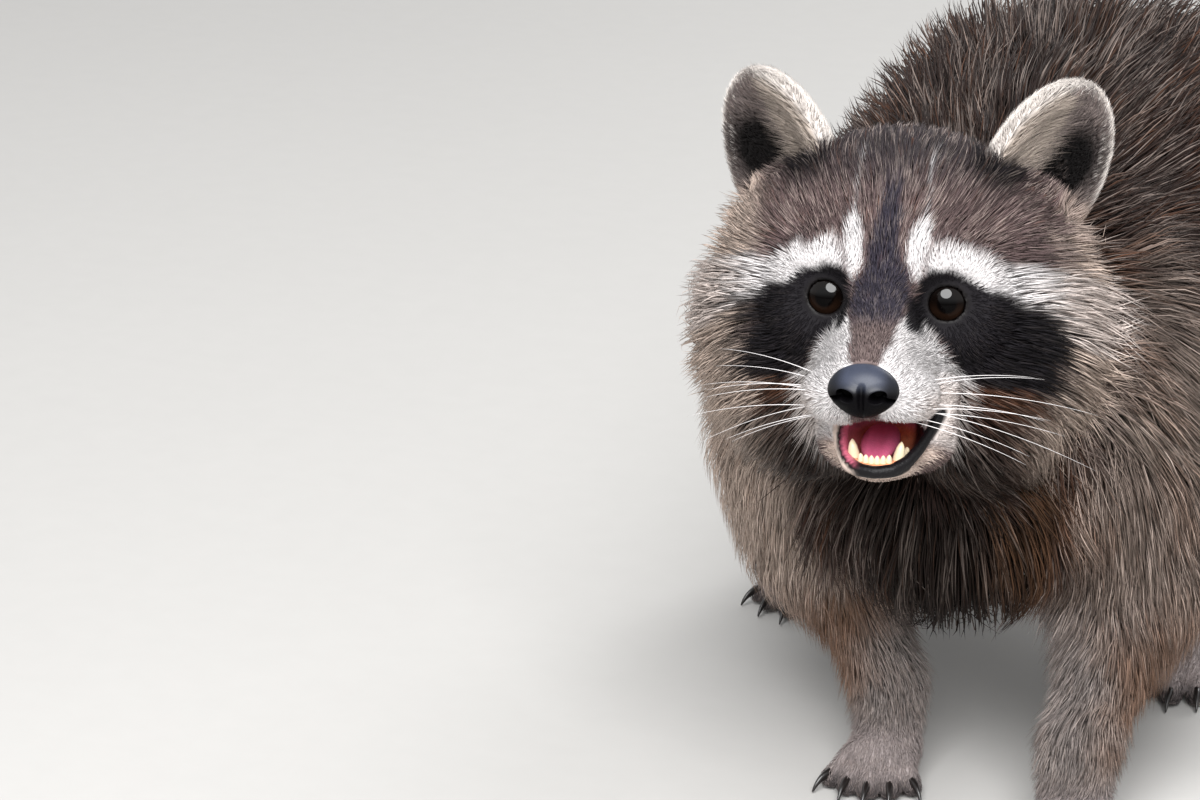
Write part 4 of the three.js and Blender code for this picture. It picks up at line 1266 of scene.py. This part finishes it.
def mottling():
    """Node group: a colour broken up by fine and broad noise on object coordinates, and the fine noise as a
    height. The colour is scaled by 1 + amount x (fine + broad - 1)."""
    group = bpy.data.node_groups.get("mottling")
    if group:
        return group
    group = bpy.data.node_groups.new("mottling", "ShaderNodeTree")
    scales = ("Fine scale", "Broad scale")
    sockets = [("Colour", "INPUT", "NodeSocketColor"), ("Colour", "OUTPUT", "NodeSocketColor"),
               ("Height", "OUTPUT", "NodeSocketFloat")]
    sockets += [(name, "INPUT", "NodeSocketFloat") for name in (*scales, "Amount")]
    for name, way, kind in sockets:
        group.interface.new_socket(name, in_out=way, socket_type=kind)
    given, found = group.nodes.new("NodeGroupInput"), group.nodes.new("NodeGroupOutput")
    place = group.nodes.new("ShaderNodeTexCoord")
    link = group.links.new
    both = add_node(group, "ShaderNodeMath", operation="ADD")
    for number, name in enumerate(scales):
        noise = add_node(group, "ShaderNodeTexNoise", Detail=3.0, Roughness=0.6)
        link(place.outputs["Object"], noise.inputs["Vector"])
        link(given.outputs[name], noise.inputs["Scale"])
        link(noise.outputs["Fac"], both.inputs[number])
        if name == "Fine scale":
            link(noise.outputs["Fac"], found.inputs["Height"])
    centred = add_node(group, "ShaderNodeMath", operation="SUBTRACT")
    link(both.outputs[0], centred.inputs[0])
    centred.inputs[1].default_value = 1.0
    gain = add_node(group, "ShaderNodeMath", operation="MULTIPLY_ADD")
    link(centred.outputs[0], gain.inputs[0])
    link(given.outputs["Amount"], gain.inputs[1])
    gain.inputs[2].default_value = 1.0
    scaled = add_node(group, "ShaderNodeVectorMath", operation="SCALE")
    link(given.outputs["Colour"], scaled.inputs[0])
    link(gain.outputs[0], scaled.inputs["Scale"])
    link(scaled.outputs[0], found.inputs["Colour"])
    return group


def finish(name, colour, mottle, bump, varies=None, **shader):
    """A material: one colour, or the piece's Coat attribute where that is None, through the mottling (fine
    scale, broad scale, amount), with a bump (strength, metres) from its fine noise. `varies` names a socket
    that runs from one value to another as the attribute's alpha goes from 0 to 1."""
    material = bpy.data.materials.new(name)
    material.use_nodes = True
    tree = material.node_tree
    surface = tree.nodes["Principled BSDF"]
    for socket, value in shader.items():
        surface.inputs[socket.replace("_", " ")].default_value = value
    broken = tree.nodes.new("ShaderNodeGroup")
    broken.node_tree = mottling()
    for socket, value in zip(("Fine scale", "Broad scale", "Amount"), mottle):
        broken.inputs[socket].default_value = value
    tree.links.new(broken.outputs["Colour"], surface.inputs["Base Color"])
    bumps = add_node(tree, "ShaderNodeBump", Strength=bump[0], Distance=bump[1])
    tree.links.new(broken.outputs["Height"], bumps.inputs["Height"])
    tree.links.new(bumps.outputs["Normal"], surface.inputs["Normal"])
    if colour is not None:
        broken.inputs["Colour"].default_value = (*colour, 1.0)
        return material
    marked = add_node(tree, "ShaderNodeAttribute", attribute_name="Coat")
    tree.links.new(marked.outputs["Color"], broken.inputs["Colour"])
    if varies is not None:
        socket, low, high = varies
        change = add_node(tree, "ShaderNodeMapRange")
        change.inputs["To Min"].default_value = low
        change.inputs["To Max"].default_value = high
        tree.links.new(marked.outputs["Alpha"], change.inputs["Value"])
        tree.links.new(change.outputs["Result"], surface.inputs[socket])
    return material


# Name, colour (None for the marked pieces), mottling and bump of each finish, and its shader's own values.
FINISHES = {
    "coat": (("Coat", None, (1300.0, 170.0, 0.55), (0.25, 0.0002)),
             {"Roughness": 0.6, "Specular_IOR_Level": 0.15}),
    "skin": (("Skin", None, (800.0, 90.0, 0.5), (0.6, 0.0005), ("Roughness", 0.8, 0.42)),
             {"Roughness": 0.8, "Specular_IOR_Level": 0.2}),
    "eye": (("Eye", None, (1500.0, 300.0, 0.5), (0.0, 0.0002), ("Coat Weight", 0.12, 1.0)),
            {"Roughness": 0.5, "Specular_IOR_Level": 0.0, "Coat_Roughness": 0.01, "Coat_IOR": 1.42}),
    "nose": (("Nose skin", None, (1900.0, 260.0, 0.35), (0.8, 0.0003), ("Coat Weight", 0.6, 0.04)),
             {"Roughness": 0.4, "Specular_IOR_Level": 0.02, "Coat_Roughness": 0.4}),
    "tongue": (("Tongue", "tongue", (1500.0, 120.0, 0.5), (0.5, 0.0003)),
               {"Roughness": 0.3, "Coat_Weight": 0.5, "Coat_Roughness": 0.15}),
    "gum": (("Gum", "gum", (600.0, 90.0, 0.5), (0.3, 0.0003)),
            {"Roughness": 0.28, "Coat_Weight": 0.6, "Coat_Roughness": 0.12}),
    "tooth": (("Tooth", "tooth", (500.0, 150.0, 0.3), (0.1, 0.0001)),
              {"Roughness": 0.25, "Coat_Weight": 0.4, "Coat_Roughness": 0.1}),
    "horn": (("Horn", "horn", (900.0, 250.0, 0.7), (0.4, 0.0001)),
             {"Roughness": 0.32, "Coat_Weight": 0.3, "Coat_Roughness": 0.2}),
    "whisker": (("Whisker", "white", (700.0, 100.0, 0.3), (0.1, 0.0001)), {"Roughness": 0.4}),
    "floor": (("Pale floor", "floor", (60.0, 1.5, 0.05), (0.05, 0.0005)), {"Roughness": 0.7}),
}
FLOOR_COLOUR = (0.5, 0.49, 0.475)


def make_finishes(colours):
    """Every finish of the animal and of its stage."""
    known = {**colours, "floor": FLOOR_COLOUR, None: None}
    return {key: finish(name, known[colour], *rest, **shader)
            for key, ((name, colour, *rest), shader) in FINISHES.items()}


# ---------------------------------------------------------------- the add-on
def colour_property(name, description, colour):
    """A colour to change in the panel."""
    return bpy.props.FloatVectorProperty(
        name=name, description=description, default=colour, subtype="COLOR", min=0.0, max=1.0)


def share_property(name, description, low, high):
    """A share of the usual value to change in the panel."""
    return bpy.props.FloatProperty(
        name=name, description=description, default=1.0, min=low, max=high, subtype="FACTOR")


class RaccoonSizes(bpy.types.PropertyGroup):
    """Sizes a user may change."""
    seed: bpy.props.IntProperty(name="Seed", description="Start of the coat's random numbers", default=7)
    density: share_property("Density", "Share of the full number of tufts", 0.1, 1.2)
    length: share_property("Tuft length", "Length of the tufts against their usual length", 0.5, 1.3)
    whisker: bpy.props.FloatProperty(
        name="Whisker length", description="Length of the longest whiskers", default=0.068, min=0.02, max=0.1,
        unit="LENGTH", subtype="DISTANCE")


COLOURS = {
    "body": ("Body", "Back and shoulders", tone(53, 38, 33)),
    "flank": ("Flank", "Sides", tone(62, 45, 39)),
    "belly": ("Belly", "Under side", tone(112, 94, 80)),
    # The breast's tone is the fur's dark brown with painted shade laid in.
    "breast": ("Breast", "Breast and chest", tone(30, 20, 15)),
    "dark": ("Dark hair", "Dark tips", tone(40, 32, 30)),
    "pale": ("Pale hair", "Pale tips", tone(208, 190, 180)),
    "rust": ("Rusty hair", "Rusty brown hair", tone(116, 78, 56)),
    "leg": ("Lower legs", "Forearms and shanks", tone(160, 150, 146)),
    "tan": ("Tan", "Outer sides of the lower legs", tone(146, 104, 72)),
    "paw": ("Paws", "Tops of the paws", tone(164, 153, 151)),
    "tail": ("Tail", "Pale lengths of the tail", tone(140, 124, 108)),
    "ring": ("Rings", "Dark rings of the tail", tone(38, 33, 33)),
    "forehead": ("Forehead", "Grizzled forehead", tone(120, 101, 100)),
    "crown": ("Crown", "Top of the head", tone(68, 60, 64)),
    "cheek": ("Cheek", "Under the mask", tone(70, 44, 32)),
    "ruff": ("Ruff", "Edge of the ruff", tone(214, 194, 180)),
    "throat": ("Throat", "Under the chin", tone(40, 29, 24)),
    "white": ("White", "Brows and muzzle", tone(247, 243, 243)),
    "cream": ("Cream", "Sides of the mouth", tone(216, 196, 184)),
    "stripe": ("Stripe", "Middle stripe of the face", tone(66, 62, 74)),
    "bridge": ("Bridge", "Bridge of the nose", tone(122, 106, 104)),
    "mask": ("Mask", "Face mask", tone(28, 25, 29)),
    "ear_back": ("Ear back", "Back of the ears", tone(120, 108, 102)),
    "ear_fluff": ("Ear fluff", "Hair in the ears", tone(180, 167, 156)),
    "ear_depth": ("Ear depth", "Inside of the ears", tone(104, 94, 92)),
    "ear_hollow": ("Ear hollow", "Hollow of the ears", tone(14, 11, 11)),
    "ear_rim": ("Ear rim", "Edge of the ears", tone(240, 232, 226)),
    "lid": ("Lids", "Bare skin of the lids and pads", tone(16, 13, 13)),
    "lip": ("Lips", "Bare skin of the lips", tone(14, 12, 14)),
    "gum": ("Gums", "Gums and inside of the mouth", tone(238, 152, 110)),
    "palate": ("Palate", "Roof and back of the mouth", tone(214, 112, 136)),
    "tongue": ("Tongue", "Tongue", tone(206, 98, 134)),
    "tooth": ("Teeth", "Teeth", tone(244, 226, 190)),
    "horn": ("Claws", "Claws", tone(26, 22, 21)),
    "iris": ("Iris", "Ring round the pupil", tone(29, 18, 12)),
    "nose": ("Nose", "Nose pad", tone(9, 8, 10)),
    # The nose's upper side takes a painted sheen, a bluish painted reflection of the light from above.
    "nose_top": ("Nose top", "Upper side of the nose pad", tone(52, 57, 72)),
}


class RaccoonColours(bpy.types.PropertyGroup):
    """Colours a user may change."""
    __annotations__ = {key: colour_property(*value) for key, value in COLOURS.items()}


MADE = {}
SKIN = {}
FLESH = ["head", "jaw", "neck", "trunk", "ear_right", "ear_left", "tail_1", "tail_2", "tail_3", "tail_4"]
FLESH += [f"{part}_{name}" for name, leg in LEGS.items()
          for part in (("thigh", "shank", "foot") if leg["hind"] else ("upper_arm", "forearm", "paw"))]
# The skin's grid lines, across, along and up: fine over the head, coarse over the body, middling at the
# soles.
GRID = (
    grid_lines((-134, -72, 3.4), (-72, 76, 1.3), (76, 142, 3.4)),
    grid_lines((-66, 62, 1.3), (62, 110, 4.4), (110, 572, 6.6)),
    grid_lines((-3, 17, 1.5), (17, 150, 4.4), (150, 292, 1.3)),
)
# How much painted shade darkens the skin where its coat is thick, and the coat's depth for the full amount.
PAINTED_SHADE_UNDER_COAT, THICK_COAT = 0.55, 12.0
# The pupil's share of the lids' colour, and how much painted shade darkens the nostrils.
PUPIL_SHARE, NOSTRIL_PAINTED_SHADE = 0.25, 0.85


def chosen():
    """The sizes, the colours as plain tuples, and the finishes, made once."""
    scene = bpy.context.scene
    colours = {key: tuple(getattr(scene.raccoon_colours, key)) for key in COLOURS}
    if not MADE:
        MADE.update(make_finishes(colours))
    return scene.raccoon_sizes, colours, MADE


def with_alpha(shade, alpha):
    """Colours and one more value for each point, as the four channels of the Coat attribute."""
    return np.concatenate([shade, alpha[:, None]], 1)


class OBJECT_OT_raccoon_skin(bpy.types.Operator):
    """The skin: one closed surface round every fleshy part, with painted shade where the coat is thick over
    it
    """
    bl_idname = "object.raccoon_skin"
    bl_label = "Skin"

    def execute(self, context):
        _, colours, finishes = chosen()
        points, quads = surface_net(skin_field, GRID)
        shade, _, bare = in_batches(markings, points, colours)
        thick = np.clip(-in_parts(coat_field, points) / THICK_COAT, 0.0, 1.0)
        # Painted shade: the skin is darkened under a thick coat, but not where it is bare.
        shade = shade * (1.0 - PAINTED_SHADE_UNDER_COAT * thick * (1.0 - bare))[:, None]
        new_piece("skin", points, quads, finishes["skin"], "skin", FLESH, with_alpha(shade, bare))
        SKIN["mesh"] = (points, quads)
        return {"FINISHED"}


class OBJECT_OT_raccoon_coat(bpy.types.Operator):
    """The coat: tapering tufts in one piece for each part of the animal"""
    bl_idname = "object.raccoon_coat"
    bl_label = "Coat"

    def execute(self, context):
        sizes, colours, finishes = chosen()
        if "mesh" not in SKIN:
            raise RuntimeError("make the skin first")
        grow_coat(*SKIN["mesh"], sizes, colours, finishes["coat"])
        return {"FINISHED"}


class OBJECT_OT_raccoon_eyes(bpy.types.Operator):
    """Both eyeballs, dark brown with a wide pupil"""
    bl_idname = "object.raccoon_eyes"
    bl_label = "Eyes"

    def execute(self, context):
        _, colours, finishes = chosen()
        dark = np.array(colours["lid"]) * PUPIL_SHARE
        for side, name in ((-1.0, "right"), (1.0, "left")):
            points, faces, iris, wet = eyeball(side)
            # The iris's brown carries painted light on the lower part of the ring.
            shade = dark + (np.array(colours["iris"]) - dark) * iris[:, None]
            new_piece(f"eyeball_{name}", points, faces, finishes["eye"], "eye", [f"eye_{name}"],
                      with_alpha(shade, wet))
        return {"FINISHED"}


class OBJECT_OT_raccoon_nose(bpy.types.Operator):
    """The nose pad with its nostrils, a painted sheen on its upper side and painted shade in the nostrils"""
    bl_idname = "object.raccoon_nose"
    bl_label = "Nose"

    def execute(self, context):
        _, colours, finishes = chosen()
        points, faces, opening, dull, above = nose_pad()
        shade = np.array(colours["nose"])
        # Painted sheen: the pad's upper side is lighter and bluer, a painted reflection of light from above.
        shade = shade + (np.array(colours["nose_top"]) - shade) * above[:, None]
        # Painted shade in the nostrils: the colour darkens where the pad opens.
        shade = shade * (1.0 - NOSTRIL_PAINTED_SHADE * opening[:, None])
        new_piece("nose_pad", points, faces, finishes["nose"], "nose_skin", ["nose"], with_alpha(shade, dull))
        return {"FINISHED"}


class OBJECT_OT_raccoon_mouth(bpy.types.Operator):
    """Tongue, gum and lower teeth"""
    bl_idname = "object.raccoon_mouth"
    bl_label = "Mouth"

    def execute(self, context):
        _, _, finishes = chosen()
        new_piece("tongue_body", *tongue_body(), finishes["tongue"], "tongue", ["tongue"])
        teeth, gum = teeth_and_gum()
        for name, (points, quads), material, slot, nodes in (
                ("lower_teeth", teeth, finishes["tooth"], "tooth", ["teeth_lower"]),
                ("lower_gum", gum, finishes["gum"], "tongue", [])):
            new_piece(name, *as_triangles(from_head(points), quads), material, slot, nodes)
        return {"FINISHED"}


class OBJECT_OT_raccoon_claws(bpy.types.Operator):
    """Twenty hooked claws"""
    bl_idname = "object.raccoon_claws"
    bl_label = "Claws"

    def execute(self, context):
        _, _, finishes = chosen()
        for name, leg in LEGS.items():
            digits = PAWS[leg["hind"]]["digits"]
            points, faces = as_triangles(*join([claw(leg, digit) for digit in digits]))
            nodes = [f"claw_{name}_{number + 1}" for number in range(len(digits))]
            new_piece(f"claws_{name}", points, faces, finishes["horn"], "horn", nodes)
        return {"FINISHED"}


class OBJECT_OT_raccoon_whiskers(bpy.types.Operator):
    """Whiskers on the muzzle"""
    bl_idname = "object.raccoon_whiskers"
    bl_label = "Whiskers"

    def execute(self, context):
        sizes, _, finishes = chosen()
        paths = whisker_paths(np.random.default_rng(sizes.seed + 1), sizes.whisker / MM)
        new_piece("whiskers", *as_triangles(*paths), finishes["whisker"], "fur_pale")
        return {"FINISHED"}


# The stage, in metres, watts and degrees; the camera's own sizes are in millimetres.
FLOOR_HALF = 6.0
LIGHTS = (("key", (0.45, -1.75, 1.85), 1.9, 104.0), ("back", (0.9, 2.2, 1.9), 1.4, 36.0))
LIGHTS_AIM = (0.0, 0.0, 0.15)
SKY_COLOUR, SKY_STRENGTH = (0.98, 0.99, 1.0, 1.0), 0.62
CAMERA_LENS, CAMERA_SENSOR, CAMERA_AWAY, CAMERA_CLIP = 110.0, 36.0, 1300.0, 0.05
VIEW_SIDE, VIEW_DOWN = 17.0, 17.0
# The frame is 1200 pixels wide, and the lens's focal length is 3666 of them. The eyes' middle falls right
# of and above the frame's own middle by these tangents.
FRAME_FOCAL = 3666.0
EYES_IN_FRAME = (286.0 / FRAME_FOCAL, 100.0 / FRAME_FOCAL)


def camera_axes(side, down):
    """Ahead, right and above of a camera turned aside and tilted down, in radians."""
    ahead = np.array((-math.sin(side) * math.cos(down), math.cos(side) * math.cos(down), -math.sin(down)))
    right = np.array((math.cos(side), math.sin(side), 0.0))
    return ahead, right, np.cross(right, ahead)


def camera_place():
    """Where the camera stands and its turns, so that the point between the eyes falls at its place in the
    frame: the aim is moved by the error until it fits."""
    side, down = math.radians(VIEW_SIDE), math.radians(VIEW_DOWN)
    d, _, _ = camera_axes(side, down)
    for _ in range(50):
        ahead, right, above = camera_axes(side, down)
        side += EYES_IN_FRAME[0] - d @ right / (d @ ahead)
        down += EYES_IN_FRAME[1] - d @ above / (d @ ahead)
    return HEAD_AT - d * (CAMERA_AWAY / (d @ ahead)), side, down


def place_floor(material):
    """A wide pale square under the animal."""
    mesh = bpy.data.meshes.new("floor")
    corners = [(x * FLOOR_HALF, y * FLOOR_HALF, 0.0) for x, y in ((-1, -1), (1, -1), (1, 1), (-1, 1))]
    mesh.from_pydata(corners, [], [(0, 1, 2, 3)])
    mesh.materials.append(material)
    floor = bpy.data.objects.new("floor", mesh)
    bpy.context.scene.collection.objects.link(floor)


def place_light(name, place, size, power):
    """A round area light aimed at the animal."""
    light = bpy.data.lights.new(name, "AREA")
    light.shape = "DISK"
    light.size = size
    light.energy = power
    lamp = bpy.data.objects.new(name, light)
    lamp.location = place
    aim = mathutils.Vector(LIGHTS_AIM) - mathutils.Vector(place)
    lamp.rotation_euler = aim.to_track_quat("-Z", "Y").to_euler()
    bpy.context.scene.collection.objects.link(lamp)


def place_camera():
    """The camera that frames the animal."""
    lens = bpy.data.cameras.new("camera")
    lens.lens = CAMERA_LENS
    lens.sensor_width = CAMERA_SENSOR
    lens.clip_start = CAMERA_CLIP
    camera = bpy.data.objects.new("camera", lens)
    place, side, down = camera_place()
    camera.location = to_model(place)
    camera.rotation_euler = (math.pi / 2.0 - down, 0.0, side)
    bpy.context.scene.collection.objects.link(camera)
    bpy.context.scene.camera = camera


class SCENE_OT_raccoon_stage(bpy.types.Operator):
    """Pale floor, soft lights and the camera"""
    bl_idname = "scene.raccoon_stage"
    bl_label = "Stage"

    def execute(self, context):
        _, _, finishes = chosen()
        place_floor(finishes["floor"])
        for light in LIGHTS:
            place_light(*light)
        world = bpy.data.worlds.new("studio")
        world.use_nodes = True
        sky = world.node_tree.nodes["Background"]
        sky.inputs["Color"].default_value = SKY_COLOUR
        sky.inputs["Strength"].default_value = SKY_STRENGTH
        context.scene.world = world
        context.scene.view_settings.view_transform = "Standard"
        place_camera()
        return {"FINISHED"}


STEPS = (OBJECT_OT_raccoon_skin, OBJECT_OT_raccoon_coat, OBJECT_OT_raccoon_eyes, OBJECT_OT_raccoon_nose,
         OBJECT_OT_raccoon_mouth, OBJECT_OT_raccoon_claws, OBJECT_OT_raccoon_whiskers, SCENE_OT_raccoon_stage)


class VIEW3D_PT_raccoon(bpy.types.Panel):
    """Sizes, colours and steps of the raccoon"""
    bl_idname = "VIEW3D_PT_raccoon"
    bl_label = "Raccoon"
    bl_space_type = "VIEW_3D"
    bl_region_type = "UI"
    bl_category = "Raccoon"

    def draw(self, context):
        for group in (context.scene.raccoon_sizes, context.scene.raccoon_colours):
            for key in type(group).__annotations__:
                self.layout.prop(group, key)
        for step in STEPS:
            self.layout.operator(step.bl_idname)


CLASSES = (RaccoonSizes, RaccoonColours, *STEPS, VIEW3D_PT_raccoon)


def register():
    """Registers the classes and hangs the property groups on the scene."""
    for kind in CLASSES:
        bpy.utils.register_class(kind)
    bpy.types.Scene.raccoon_sizes = bpy.props.PointerProperty(type=RaccoonSizes)
    bpy.types.Scene.raccoon_colours = bpy.props.PointerProperty(type=RaccoonColours)


def unregister():
    """Undoes register."""
    del bpy.types.Scene.raccoon_sizes
    del bpy.types.Scene.raccoon_colours
    for kind in reversed(CLASSES):
        bpy.utils.unregister_class(kind)


def main():
    """Makes every piece in order."""
    register()
    for step in STEPS:
        group, name = step.bl_idname.split(".")
        getattr(getattr(bpy.ops, group), name)()


if __name__ == "__main__":
    main()
